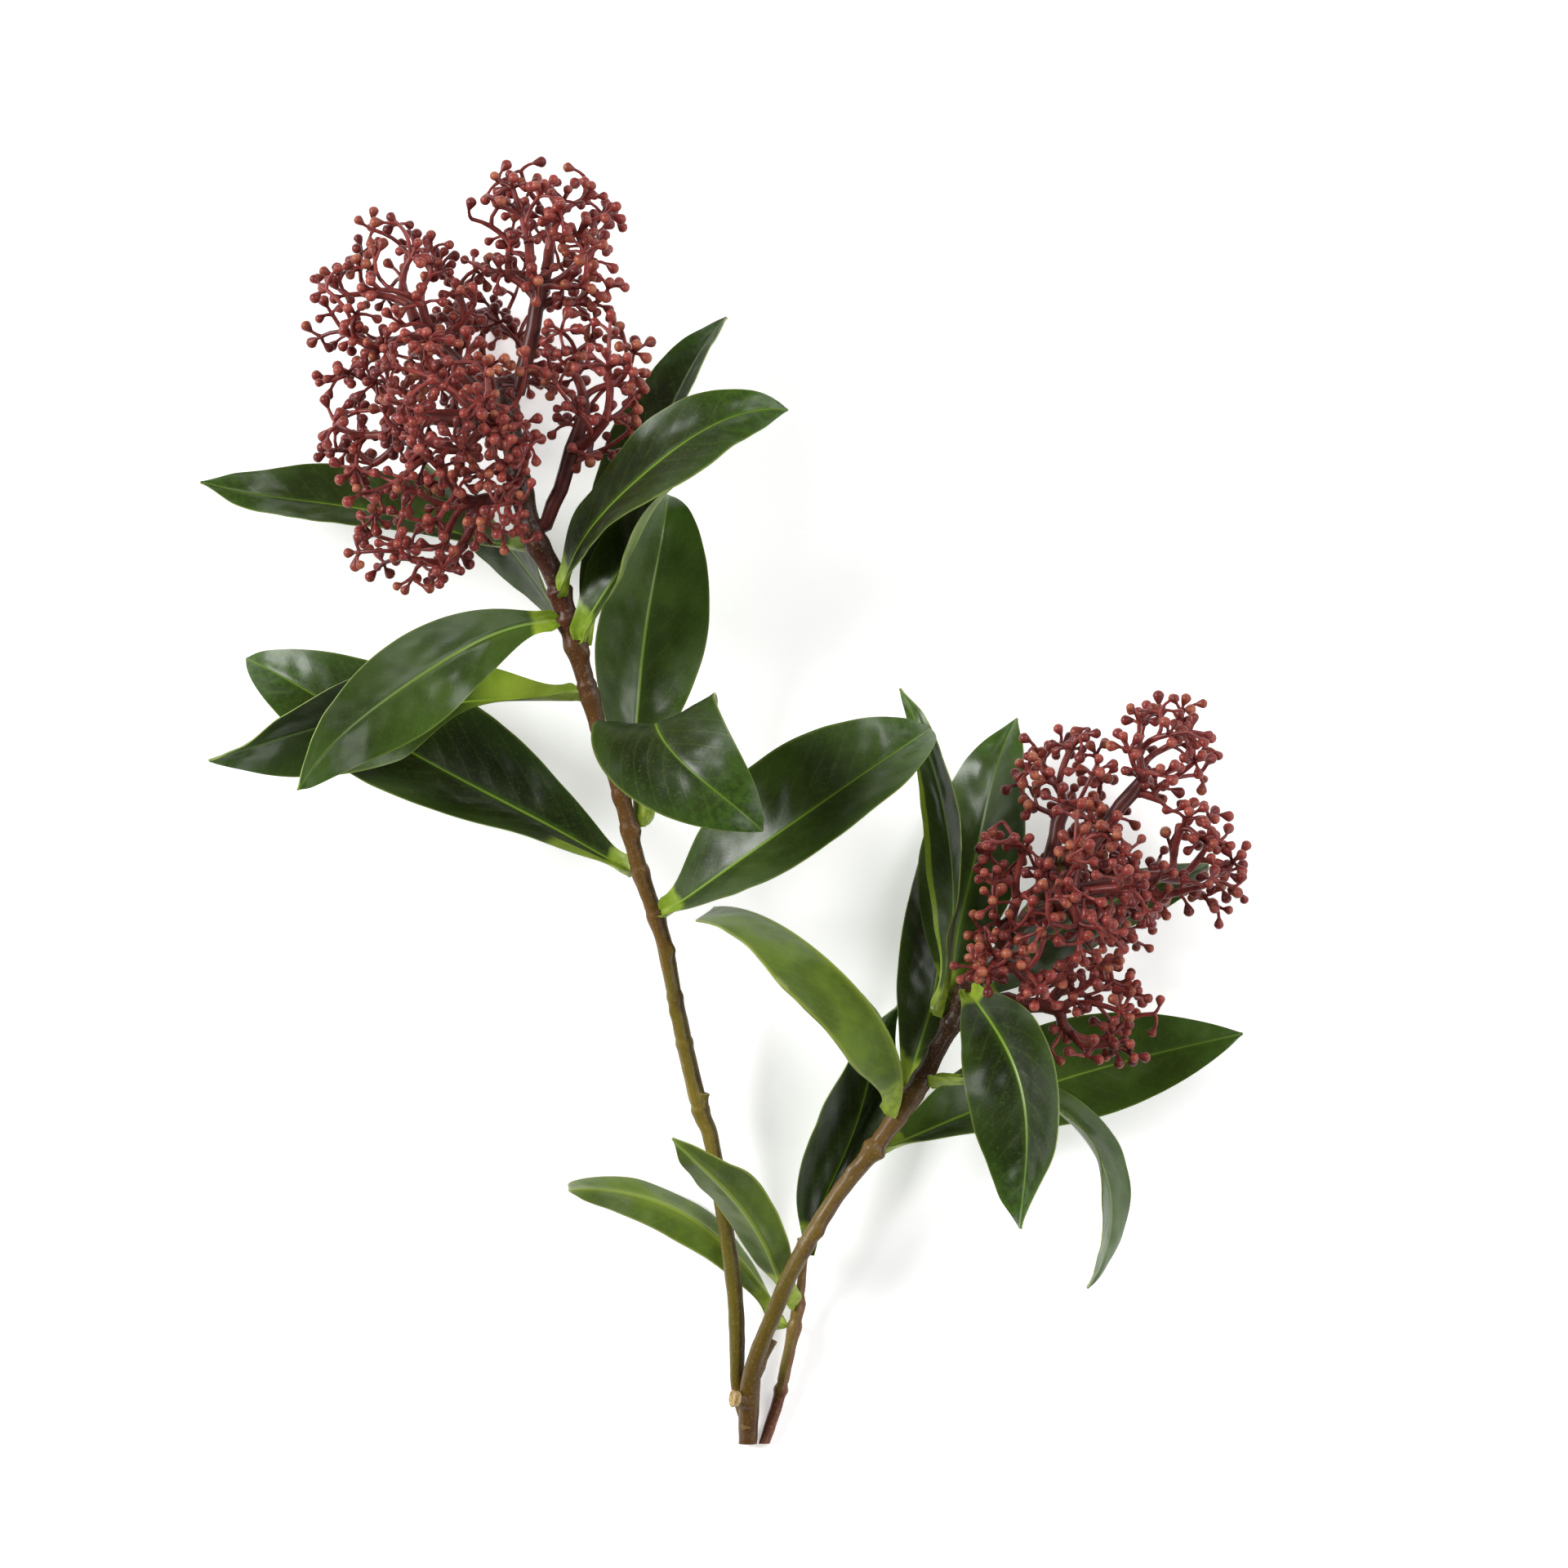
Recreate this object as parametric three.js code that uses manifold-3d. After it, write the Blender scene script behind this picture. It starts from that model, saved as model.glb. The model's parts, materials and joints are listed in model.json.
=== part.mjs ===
// A cut spray of artificial skimmia, laid down flat: two budded heads on a forked, leafy branch.
// Millimetres, +Z up. The cut end points to -Y. Every stem, leaf and sprig of buds is one closed solid.
import * as THREE from 'three';
import { mergeVertices } from 'three/addons/utils/BufferGeometryUtils.js';
import Module from 'manifold-3d';

const wasm = await Module();
wasm.setup();

// ---- Driving dimensions, in millimetres and degrees ----

// Centre of the underside of the spray's box, in the coordinates that the tables below use.
const ORIGIN = [-1.21, -4.56, 0.1];
// Clearance between neighbouring solids.
const GAP = 0.3;

// Centre line of each stem: x, y, z and radius, from its foot to its tip.
const STEMS = {
  trunk: [
    [6.3, -193.4, 2.9, 2.8], [6.9, -178, 9.5, 3.1], [8.4, -168, 14, 2.6], [13.2, -155, 19.5, 2.5],
    [20.3, -138, 25, 2.5], [32.2, -118, 28, 2.5], [44.1, -102.6, 30, 2.6], [55.5, -86.4, 32, 2.8],
    [65, -69, 34, 2.7], [73, -54, 36, 2.5], [86, -38, 39, 1.9], [102, -15, 42, 1.5],
  ],
  left_stem: [
    [3.2, -176.5, 6, 1.9], [3.2, -162, 9, 2.4], [1.8, -142, 12, 2.4], [-4.2, -103, 16, 2.4],
    [-7.8, -91.7, 18, 2.6], [-13.6, -66.3, 25, 2.4], [-18.6, -40.7, 31, 2.4], [-25.5, -20.1, 36, 2.4],
    [-30.9, 2.3, 40, 2.4], [-37, 20.8, 42, 2.5], [-44.2, 46.5, 45, 2.8], [-47.8, 58, 46, 3.1],
    [-50.5, 67, 47, 3.2], [-56.6, 79, 48, 3.2], [-61, 97, 48, 3.1], [-65, 121, 48, 3],
  ],
  side_twig: [
    [11.2, -193.4, 2, 1.8], [15.6, -179.5, 4, 1.8], [19.4, -162.5, 5.5, 1.8], [21.4, -152, 6.5, 1.6],
    [22.8, -139, 8, 1.2], [22.2, -131, 9, 1.1],
  ],
};
const STEM_SIDES = 8;
const STEM_STEP = 6;

// Short side shoots that are fused to a stem: stem, place along Y, heading, rise, length, radius.
const NUBS = [
  ['trunk', -179.5, 172, 35, 6.3, 2.4],
  ['trunk', -172, 62, 10, 13, 1.9],
  ['left_stem', -92, 80, 20, 5.5, 1.8],
];

// Leaves: name, stem, place along Y, heading, rise, bow, arch, length, half width, fold, roll, twist,
// curl, sway. On the way to the tip bow turns the heading and arch the rise, sway swings the heading over
// and back, and curl bends the last stretch. Fold lifts both edges, roll lifts the right edge, and twist
// adds to roll by the tip.
const LEAVES = [
  ['upper_leaf_01', 'left_stem', 75, 172, -45, -8, 71, 109, 11.5, 0.5, -47, 13, -11, -7],
  ['upper_leaf_02', 'left_stem', 53, 127, -46, 9, 47, 75, 10, 0.3, 58, 12, -2, -3],
  ['upper_leaf_03', 'left_stem', 45, 84, -7, -33, -13, 113, 14, 0.45, 46, 6, -20, -5],
  ['upper_leaf_04', 'left_stem', 61, 85, 44, -90, -55, 98, 14.5, 0.2, 74, -50, -26, -10],
  ['upper_leaf_05', 'left_stem', 47, 80, 30, -41, -25, 55, 10, 0.45, 41, 35, -6, -13],
  ['upper_leaf_06', 'left_stem', 2, 79, -31, 7, 67, 96, 17, 0.5, -6, -19, -110, 5],
  ['upper_leaf_07', 'left_stem', 54, 180, 21, 70, -20, 98, 14, 0.35, -6, 49, 60, 9],
  ['upper_leaf_08', 'left_stem', -8, 83, 5, 53, 197, 114, 19.5, 0.15, 179, 2, 28, -16],
  ['upper_leaf_09', 'left_stem', -34, 38, 40, -6, -55, 107, 19.5, 0.45, 48, -20, -49, -1],
  ['upper_leaf_10', 'left_stem', -21, 146, -13, 10, 22, 137, 19.5, 0.4, -43, 29, -61, 4],
  ['upper_leaf_11', 'left_stem', 31, 179, -9, 22, 26, 114, 14, 0.5, -48, 112, 29, -1],
  ['right_leaf_01', 'trunk', -93.5, 67, 37, 140, -73, 110, 20, 0.5, 124, -39, -65, 13],
  ['right_leaf_02', 'trunk', -87, 74, -18, 21, 4, 80, 14, 0.3, 5, -53, -14, -7],
  ['right_leaf_03', 'trunk', -65, 76, 8, 42, -7, 100, 7.5, 0.35, 79, -40, -15, 0],
  ['right_leaf_04', 'trunk', -60, 93, -20, -33, 20, 89, 16.5, 0.15, 2, 50, -28, -7],
  ['right_leaf_05', 'trunk', -57, 26, -48, 6, 75, 96, 10.5, 0.3, -22, -12, 54, 10],
  ['right_leaf_06', 'trunk', -103, 24, -30, -12, 65, 117, 16, 0.4, 48, -49, -42, 0],
  ['right_leaf_07', 'trunk', -56, 306, 73, -42, -109, 85, 14.5, 0.4, 12, -65, 46, 7],
  ['right_leaf_08', 'trunk', -82, 13, 30, -134, -71, 106, 11, 0.3, 90, -40, 2, 4],
  ['twig_leaf_01', 'side_twig', -136, 88, 7, -35, -22, 80, 18.5, 0.4, -9, -48, 6, -13],
  ['twig_leaf_02', 'side_twig', -158, 122, -1, 55, 20, 90, 7, 0.3, 126, 45, 65, -6],
  ['twig_leaf_03', 'side_twig', -152, 111, 36, 24, -9, 75, 8.5, 0.3, 210, 12, -12, -5],
];
// A blade is narrow at its foot, widest at this share of its length, and ends in a point.
const WIDEST = 0.54;
const FOOT_POWER = 1.15;
const FOLD_POWER = 1.4;
const PETIOLE_HALF = 1.3;
const TIP_HALF = 0.3;
const THICKNESS_SHARE = 0.0105;
const BLADE_STATIONS = 8;
const BLADE_ACROSS = [-1, -0.5, 0, 0.5, 1];
const RIB_STEPS = 40;
// Share of a leaf's length where its curl sets in.
const CURL_START = 0.6;

// Sprigs of buds: name, stem, place along Y, then the centre and half sizes of the space it fills.
const SPRIGS = [
  ['left_sprig_top', 'left_stem', 120, [-50, 164, 52], [24, 24, 22]],
  ['left_sprig_far', 'left_stem', 117, [-96, 147, 48], [26, 25, 20]],
  ['left_sprig_right', 'left_stem', 80, [-38.5, 121, 52], [20, 22.5, 20]],
  ['left_sprig_front', 'left_stem', 106, [-76, 115, 78], [24, 22, 19]],
  ['left_sprig_low', 'left_stem', 90, [-90, 84, 52], [22, 23, 19]],
  ['left_sprig_near', 'left_stem', 94, [-62, 90, 70], [15, 17, 15]],
  ['left_sprig_side', 'left_stem', 112, [-105, 114, 42], [18, 22, 20]],
  ['left_sprig_back', 'left_stem', 114, [-74, 132, 18], [26, 26, 18.9]],
  ['right_sprig_top', 'trunk', -17, [127.5, 14, 48], [17.5, 18.5, 17]],
  ['right_sprig_left', 'trunk', -21, [100, 5, 42], [18, 17, 18]],
  ['right_sprig_far', 'trunk', -27, [139, -19, 42], [17, 18, 17]],
  ['right_sprig_low', 'trunk', -56, [109, -62, 45], [18.5, 17, 17]],
  ['right_sprig_side', 'trunk', -42, [87, -26, 52], [18, 20, 17]],
  ['right_sprig_front', 'trunk', -34, [108, -23, 68], [18, 22, 15]],
  ['right_sprig_near', 'trunk', -50, [88, -47, 62], [20, 14, 14]],
  ['right_sprig_back', 'trunk', -31, [112, -26, 22], [22, 24, 21]],
];
// The axis of a sprig runs this share of the way to the centre of its space.
const AXIS_SHARE = 0.8;
const AXIS_POINTS = 7;
const AXIS_RADII = [1.5, 0.9];
// Forks leave the last stretch of the axis, from where it is this deep inside the space.
const FORKS = 7;
const FORK_DEPTH = 0.8;
const FORK_STRETCH = 0.7;
const FORK_REACH = 0.6;
const FORK_RADII = [0.75, 0.6];
// Buds are dealt out evenly over the space. Each is drawn larger than life, for a group of three.
const BUDS_PER_CM3 = 0.64;
// Share of the space's volume inside the innermost bud, and the share that the buds spread over.
const HOLLOW_SHARE = 0.12;
const FILLED_SHARE = 0.8;
// A stalk stands between these shares of its fork's length.
const STALK_FEET = [0.35, 0.95];
const STALK_RADIUS = 0.5;
const STALK_LENGTHS = [5.5, 17];
const BUD_RADIUS = 2.5;
// Length of a bud behind its widest ring and ahead of it.
const BUD_NECK = 3;
const BUD_TIP = 2;
// Ease between the spaces of two sprigs, in the scaled distance that parts them.
const SPACE_EASE = 0.12;
const WIDEST_STEM = 3.2;
const LEAF_CLEAR = 2.4;

// ---- Vectors and paths ----

const RAD = Math.PI / 180;
const GOLDEN_ANGLE = Math.PI * (3 - Math.sqrt(5));
const vec = (x, y, z) => new THREE.Vector3(x, y, z);

function headed(heading, rise) {
  const level = Math.cos(rise * RAD);
  return vec(level * Math.cos(heading * RAD), level * Math.sin(heading * RAD), Math.sin(rise * RAD));
}

// The k-th point of a path, which runs on straight past either end.
function pathPoint(path, k) {
  const last = path.length - 1;
  if (k < 0) return path[0].map((value, j) => 2 * value - path[1][j]);
  if (k > last) return path[last].map((value, j) => 2 * value - path[last - 1][j]);
  return path[k];
}

// A smooth curve through the path's points: place, radius and direction at t, counted in points.
function pathAt(path, t) {
  const i = Math.min(Math.max(Math.floor(t), 0), path.length - 2);
  const s = t - i;
  const [a, b, c, d] = [-1, 0, 1, 2].map((k) => pathPoint(path, i + k));
  const value = [];
  const slope = [];
  for (let j = 0; j < b.length; j++) {
    const first = c[j] - a[j];
    const second = 2 * a[j] - 5 * b[j] + 4 * c[j] - d[j];
    const third = 3 * (b[j] - c[j]) + d[j] - a[j];
    value.push(b[j] + 0.5 * s * (first + s * (second + s * third)));
    slope.push(0.5 * (first + s * (2 * second + 3 * s * third)));
  }
  return { place: vec(...value), radius: value[3], dir: vec(...slope).normalize() };
}

// Where a stem reaches the given place along Y.
function stemAtY(path, y) {
  let low = 0;
  let high = path.length - 1;
  for (let i = 0; i < 40; i++) {
    const middle = (low + high) / 2;
    if (pathAt(path, middle).place.y < y) low = middle;
    else high = middle;
  }
  return pathAt(path, low);
}

// The point beside a stem where a piece of the given radius starts off in a direction, clear of the bark.
function seat(stem, y, dir, radius) {
  const at = stemAtY(STEMS[stem], y);
  const outward = dir.clone().addScaledVector(at.dir, -dir.dot(at.dir)).normalize();
  const slant = Math.sqrt(Math.max(0, 1 - dir.dot(outward) ** 2));
  return at.place.addScaledVector(outward, at.radius + GAP + radius * slant);
}

// ---- Solids ----

// A closed skin over a row of rings with equal numbers of points, with flat ends.
function loft(rings) {
  const count = rings[0].length;
  const positions = rings.flat().flatMap((p) => [p.x, p.y, p.z]);
  const index = [];
  for (let r = 0; r + 1 < rings.length; r++) {
    for (let k = 0; k < count; k++) {
      const a = r * count + k;
      const b = r * count + ((k + 1) % count);
      index.push(a, b, b + count, a, b + count, a + count);
    }
  }
  const end = (rings.length - 1) * count;
  for (let a = 0, b = count - 1; b - a > 1; a++, b--) {
    index.push(a, b, a + 1, end + a, end + a + 1, end + b);
    if (b - a > 2) index.push(a + 1, b, b - 1, end + a + 1, end + b - 1, end + b);
  }
  const geometry = new THREE.BufferGeometry();
  geometry.setAttribute('position', new THREE.Float32BufferAttribute(positions, 3));
  geometry.setIndex(index);
  return geometry;
}

// A round bar through the given places, whose rings turn as little as they can.
function bar(places, radii, sides, firstDir) {
  let across = null;
  const rings = places.map((place, i) => {
    const from = places[Math.max(i - 1, 0)];
    const to = places[Math.min(i + 1, places.length - 1)];
    const dir = i === 0 && firstDir ? firstDir.clone() : to.clone().sub(from).normalize();
    if (!across) across = vec(0, 0, 1).cross(dir).lengthSq() > 0.01 ? vec(0, 0, 1) : vec(1, 0, 0);
    across = across.clone().addScaledVector(dir, -across.dot(dir)).normalize();
    const second = dir.clone().cross(across);
    return Array.from({ length: sides }, (_, k) => {
      const turn = (2 * Math.PI * k) / sides;
      return place.clone()
        .addScaledVector(across, radii[i] * Math.cos(turn))
        .addScaledVector(second, radii[i] * Math.sin(turn));
    });
  });
  return loft(rings);
}

// Vertices that meet are merged, and the faces that this closes up are dropped.
function solid(geometry) {
  const merged = mergeVertices(geometry, 1e-5);
  const corners = merged.index.array;
  const kept = [];
  for (let i = 0; i < corners.length; i += 3) {
    const [a, b, c] = corners.slice(i, i + 3);
    if (a !== b && b !== c && c !== a) kept.push(a, b, c);
  }
  return new wasm.Manifold(new wasm.Mesh({
    numProp: 3,
    vertProperties: merged.attributes.position.array,
    triVerts: new Uint32Array(kept),
  }));
}

// Joins pieces that run into each other, in pairs so that each join stays small.
function fuse(geometries) {
  let pieces = geometries.map(solid);
  while (pieces.length > 1) {
    const joined = [];
    for (let i = 0; i < pieces.length; i += 2) {
      joined.push(i + 1 < pieces.length ? pieces[i].add(pieces[i + 1]) : pieces[i]);
    }
    pieces = joined;
  }
  const mesh = pieces[0].getMesh();
  const geometry = new THREE.BufferGeometry();
  geometry.setAttribute('position', new THREE.Float32BufferAttribute(mesh.vertProperties, 3));
  geometry.setIndex(Array.from(mesh.triVerts));
  return geometry;
}

// ---- Stems ----

function stemGeometry(name) {
  const path = STEMS[name];
  const places = [];
  const radii = [];
  for (let i = 0; i + 1 < path.length; i++) {
    const span = pathAt(path, i).place.distanceTo(pathAt(path, i + 1).place);
    const steps = Math.max(1, Math.round(span / STEM_STEP));
    for (let k = 0; k < steps; k++) {
      const at = pathAt(path, i + k / steps);
      places.push(at.place);
      radii.push(at.radius);
    }
  }
  const tip = pathAt(path, path.length - 1);
  const limb = bar([...places, tip.place], [...radii, tip.radius], STEM_SIDES, vec(0, 1, 0));
  const nubs = NUBS.filter(([stem]) => stem === name).map(([, y, heading, rise, length, radius]) => {
    const root = stemAtY(path, y).place;
    const end = root.clone().addScaledVector(headed(heading, rise), length);
    return bar([root, end], [radius, radius], STEM_SIDES);
  });
  return fuse([limb, ...nubs]);
}

// ---- Leaves ----

// Heading and rise of a leaf's rib at u, which runs from foot to tip.
function ribTurns(leaf, u) {
  const heading = leaf.heading + leaf.bow * u + leaf.sway * Math.sin(2 * Math.PI * u);
  const late = Math.max(0, (u - CURL_START) / (1 - CURL_START));
  return [heading, leaf.rise + leaf.arch * u + leaf.curl * late ** 2];
}

function leafFromRow(row) {
  const [name, stem, y, heading, rise, bow, arch, length, half, fold, roll, twist, curl, sway] = row;
  const leaf = { name, heading, rise, bow, arch, length, half, fold, roll, twist, curl, sway };
  leaf.rib = [seat(stem, y, headed(heading, rise), PETIOLE_HALF)];
  for (let i = 0; i < RIB_STEPS; i++) {
    const step = headed(...ribTurns(leaf, (i + 0.5) / RIB_STEPS)).multiplyScalar(length / RIB_STEPS);
    leaf.rib.push(leaf.rib[i].clone().add(step));
  }
  return leaf;
}

function bladeHalf(leaf, u) {
  const tipPower = FOOT_POWER * (1 / WIDEST - 1);
  const shape = (u / WIDEST) ** FOOT_POWER * ((1 - u) / (1 - WIDEST)) ** tipPower;
  return Math.hypot(leaf.half * shape, TIP_HALF + (PETIOLE_HALF - TIP_HALF) * (1 - u) ** 2);
}

// A point of the blade: u runs from foot to tip, v from the left edge to the right, lift is off the blade.
function bladePoint(leaf, u, v, lift) {
  const k = Math.min(u * RIB_STEPS, RIB_STEPS - 1e-6);
  const i = Math.floor(k);
  const place = leaf.rib[i].clone().lerp(leaf.rib[i + 1], k - i);
  const [heading, rise] = ribTurns(leaf, u);
  const dir = headed(heading, rise);
  const level = vec(Math.sin(heading * RAD), -Math.cos(heading * RAD), 0);
  const above = level.clone().cross(dir);
  const roll = (leaf.roll + leaf.twist * u) * RAD;
  const side = level.clone().multiplyScalar(Math.cos(roll)).addScaledVector(above, Math.sin(roll));
  const normal = side.clone().cross(dir);
  const half = bladeHalf(leaf, u);
  return place
    .addScaledVector(side, half * v)
    .addScaledVector(normal, half * leaf.fold * Math.abs(v) ** FOLD_POWER + lift);
}

function leafGeometry(leaf) {
  const lift = (THICKNESS_SHARE * leaf.length) / 2;
  const rings = [];
  for (let i = 0; i <= BLADE_STATIONS; i++) {
    const u = i / BLADE_STATIONS;
    const over = BLADE_ACROSS.map((v) => bladePoint(leaf, u, v, lift));
    const under = BLADE_ACROSS.map((v) => bladePoint(leaf, u, v, -lift)).reverse();
    rings.push([...over, ...under]);
  }
  return loft(rings);
}

// ---- Sprigs of buds ----

// A seeded source of even random numbers from 0 to 1.
function random(seed) {
  let state = seed >>> 0;
  return () => {
    state = (state + 0x6d2b79f5) >>> 0;
    let mixed = Math.imul(state ^ (state >>> 15), state | 1);
    mixed ^= mixed + Math.imul(mixed ^ (mixed >>> 7), mixed | 61);
    return ((mixed ^ (mixed >>> 14)) >>> 0) / 4294967296;
  };
}

function sprigFromRow(row, number) {
  const [name, stem, y, centre, sizes] = row;
  const sprig = { name, stem, number, centre: vec(...centre), sizes: vec(...sizes) };
  const toCentre = sprig.centre.clone().sub(stemAtY(STEMS[stem], y).place).normalize();
  const start = seat(stem, y, toCentre, AXIS_RADII[0]);
  const hub = start.clone().lerp(sprig.centre, AXIS_SHARE);
  sprig.axis = Array.from({ length: AXIS_POINTS }, (_, i) => start.clone().lerp(hub, i / (AXIS_POINTS - 1)));
  return sprig;
}

// Scaled distance of a point from a sprig's centre: 1 on the skin of its space.
function depth(sprig, point) {
  return point.clone().sub(sprig.centre).divide(sprig.sizes).length();
}

function distanceToLine(point, places) {
  let least = Infinity;
  for (let i = 0; i + 1 < places.length; i++) {
    const line = new THREE.Line3(places[i], places[i + 1]);
    least = Math.min(least, line.closestPointToPoint(point, true, vec(0, 0, 0)).distanceTo(point));
  }
  return least;
}

const leaves = LEAVES.map(leafFromRow);
const sprigs = SPRIGS.map(sprigFromRow);
const stemLines = Object.values(STEMS).map((path) => {
  const steps = (path.length - 1) * 4;
  return Array.from({ length: steps + 1 }, (_, i) => pathAt(path, i / 4).place);
});
const leafPoints = leaves.flatMap((leaf) => {
  const points = [];
  for (let i = 0; i <= 36; i++) {
    for (let k = -4; k <= 4; k++) points.push(bladePoint(leaf, i / 36, k / 4, 0));
  }
  return points;
});

// A point keeps to its sprig's own space, off the stems, the leaves and the axes of other sprigs.
function isClear(sprig, point, radius) {
  const own = depth(sprig, point);
  if (own > 1.001) return false;
  const others = sprigs.filter((other) => other !== sprig);
  if (others.some((other) => depth(other, point) < own + SPACE_EASE)) return false;
  if (others.some((other) => distanceToLine(point, other.axis) < radius + AXIS_RADII[0] + GAP)) return false;
  if (stemLines.some((line) => distanceToLine(point, line) < radius + WIDEST_STEM + GAP)) return false;
  return leafPoints.every((leafPoint) => leafPoint.distanceTo(point) > radius + LEAF_CLEAR);
}

// The k-th of a number of directions that are spread evenly over a ball and turned by a phase.
function spread(k, count, phase) {
  const height = 1 - (2 * k + 1) / count;
  const turn = GOLDEN_ANGLE * k + phase;
  const level = Math.sqrt(1 - height * height);
  return vec(level * Math.cos(turn), level * Math.sin(turn), height);
}

// The forks of a sprig leave its axis in turn and reach into all parts of its space.
function forksOf(sprig) {
  const rand = random(100 * sprig.number + 7);
  const phase = 2 * Math.PI * rand();
  const tip = sprig.axis[sprig.axis.length - 1];
  const entry = sprig.axis.find((place) => depth(sprig, place) < FORK_DEPTH) ?? tip;
  const forks = [];
  for (let k = 0; k < FORKS; k++) {
    const root = tip.clone().lerp(entry, FORK_STRETCH * rand());
    const aim = spread(k, FORKS, phase).multiply(sprig.sizes).multiplyScalar(FORK_REACH).add(sprig.centre);
    const middle = root.clone().lerp(aim, 0.5);
    if (isClear(sprig, aim, FORK_RADII[0]) && isClear(sprig, middle, FORK_RADII[0])) forks.push([root, aim]);
  }
  return forks;
}

// The buds of a sprig, each with the place on a fork that its stalk stands on.
function budsOf(sprig, forks) {
  const rand = random(100 * sprig.number + 8);
  const phase = 2 * Math.PI * rand();
  const volume = (4 / 3) * Math.PI * sprig.sizes.x * sprig.sizes.y * sprig.sizes.z;
  const count = Math.round((BUDS_PER_CM3 * volume) / 1000);
  const buds = [];
  for (let k = 0; k < count; k++) {
    const shell = Math.cbrt(HOLLOW_SHARE + FILLED_SHARE * rand());
    const heart = spread(k, count, phase).multiply(sprig.sizes).multiplyScalar(shell).add(sprig.centre);
    if (!isClear(sprig, heart, BUD_RADIUS)) continue;
    if (buds.some((bud) => bud.heart.distanceTo(heart) < 2 * BUD_RADIUS)) continue;
    const feet = forks.map(([root, end]) => {
      const [low, high] = STALK_FEET.map((share) => root.clone().lerp(end, share));
      return new THREE.Line3(low, high).closestPointToPoint(heart, true, vec(0, 0, 0));
    });
    const reach = (foot) => foot.distanceTo(heart);
    const foot = feet.reduce((best, other) => (reach(other) < reach(best) ? other : best), feet[0]);
    if (reach(foot) > STALK_LENGTHS[0] && reach(foot) < STALK_LENGTHS[1]) buds.push({ heart, foot });
  }
  return buds;
}

// A stalk that ends in a bud, four-sided and pear-shaped.
function budGeometry({ heart, foot }) {
  const dir = heart.clone().sub(foot).normalize();
  const at = (distance) => heart.clone().addScaledVector(dir, distance);
  const places = [foot, at(-BUD_NECK), heart, at(BUD_TIP)];
  return bar(places, [0, STALK_RADIUS, BUD_RADIUS, 0], 4);
}

function sprigGeometry(sprig) {
  const forks = forksOf(sprig);
  const axis = bar([sprig.axis[0], sprig.axis[sprig.axis.length - 1]], AXIS_RADII, 5);
  const bars = forks.map((places) => bar(places, FORK_RADII, 3));
  return fuse([axis, ...bars, ...budsOf(sprig, forks).map(budGeometry)]);
}

// ---- Materials and the finished spray ----

function plastic(color, roughness) {
  return new THREE.MeshStandardMaterial({ color, roughness, metalness: 0 });
}

const spray = new THREE.Group();
spray.position.set(-ORIGIN[0], -ORIGIN[1], -ORIGIN[2]);

function place(name, geometry, material) {
  const mesh = new THREE.Mesh(geometry, material);
  mesh.name = name;
  spray.add(mesh);
}

for (const name of Object.keys(STEMS)) place(name, stemGeometry(name), plastic(0x5f4a2c, 0.45));
for (const leaf of leaves) place(leaf.name, leafGeometry(leaf), plastic(0x2c4a20, 0.35));
for (const sprig of sprigs) place(sprig.name, sprigGeometry(sprig), plastic(0x86403a, 0.45));

export default spray;
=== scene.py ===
# A cut spray of artificial skimmia, laid down flat: two budded heads on a forked, leafy branch.
# The stems, leaves and sprigs follow the same tables and seeded rules as the solids that they replace.
import json
import math
from types import SimpleNamespace

import bpy
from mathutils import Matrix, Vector, noise
from mathutils.geometry import intersect_point_line
from mathutils.kdtree import KDTree

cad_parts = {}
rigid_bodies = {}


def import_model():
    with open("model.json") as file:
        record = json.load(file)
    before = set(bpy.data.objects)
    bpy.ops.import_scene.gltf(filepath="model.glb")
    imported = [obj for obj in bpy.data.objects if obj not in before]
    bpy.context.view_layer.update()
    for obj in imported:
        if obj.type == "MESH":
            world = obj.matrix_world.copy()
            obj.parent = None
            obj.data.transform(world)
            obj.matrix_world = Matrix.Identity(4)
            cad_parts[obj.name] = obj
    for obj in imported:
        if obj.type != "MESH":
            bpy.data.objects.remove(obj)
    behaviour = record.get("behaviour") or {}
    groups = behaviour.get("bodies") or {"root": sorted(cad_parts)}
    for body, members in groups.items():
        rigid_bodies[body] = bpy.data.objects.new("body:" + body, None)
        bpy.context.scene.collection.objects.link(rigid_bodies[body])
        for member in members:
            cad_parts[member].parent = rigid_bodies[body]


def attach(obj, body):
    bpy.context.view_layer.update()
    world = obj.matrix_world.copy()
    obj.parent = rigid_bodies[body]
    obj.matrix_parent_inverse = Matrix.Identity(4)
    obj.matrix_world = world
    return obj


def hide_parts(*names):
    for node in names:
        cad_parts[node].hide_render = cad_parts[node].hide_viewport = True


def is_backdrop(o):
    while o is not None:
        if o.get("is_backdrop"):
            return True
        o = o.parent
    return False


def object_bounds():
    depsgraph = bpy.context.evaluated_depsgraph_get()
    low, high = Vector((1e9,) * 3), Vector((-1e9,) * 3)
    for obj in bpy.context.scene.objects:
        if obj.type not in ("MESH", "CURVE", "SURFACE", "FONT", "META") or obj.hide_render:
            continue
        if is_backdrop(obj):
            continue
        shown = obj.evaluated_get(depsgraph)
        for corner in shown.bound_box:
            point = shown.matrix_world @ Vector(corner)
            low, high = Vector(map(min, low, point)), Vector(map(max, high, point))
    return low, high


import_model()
solid_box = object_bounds()

# ---- Driving dimensions, in millimetres and degrees, as the solids have them ----

MM = 0.001
# Centre of the underside of the spray's box, in the coordinates that the tables below use.
ORIGIN = Vector((-1.21, -4.56, 0.1))
# Clearance between neighbouring solids.
GAP = 0.3

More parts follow.
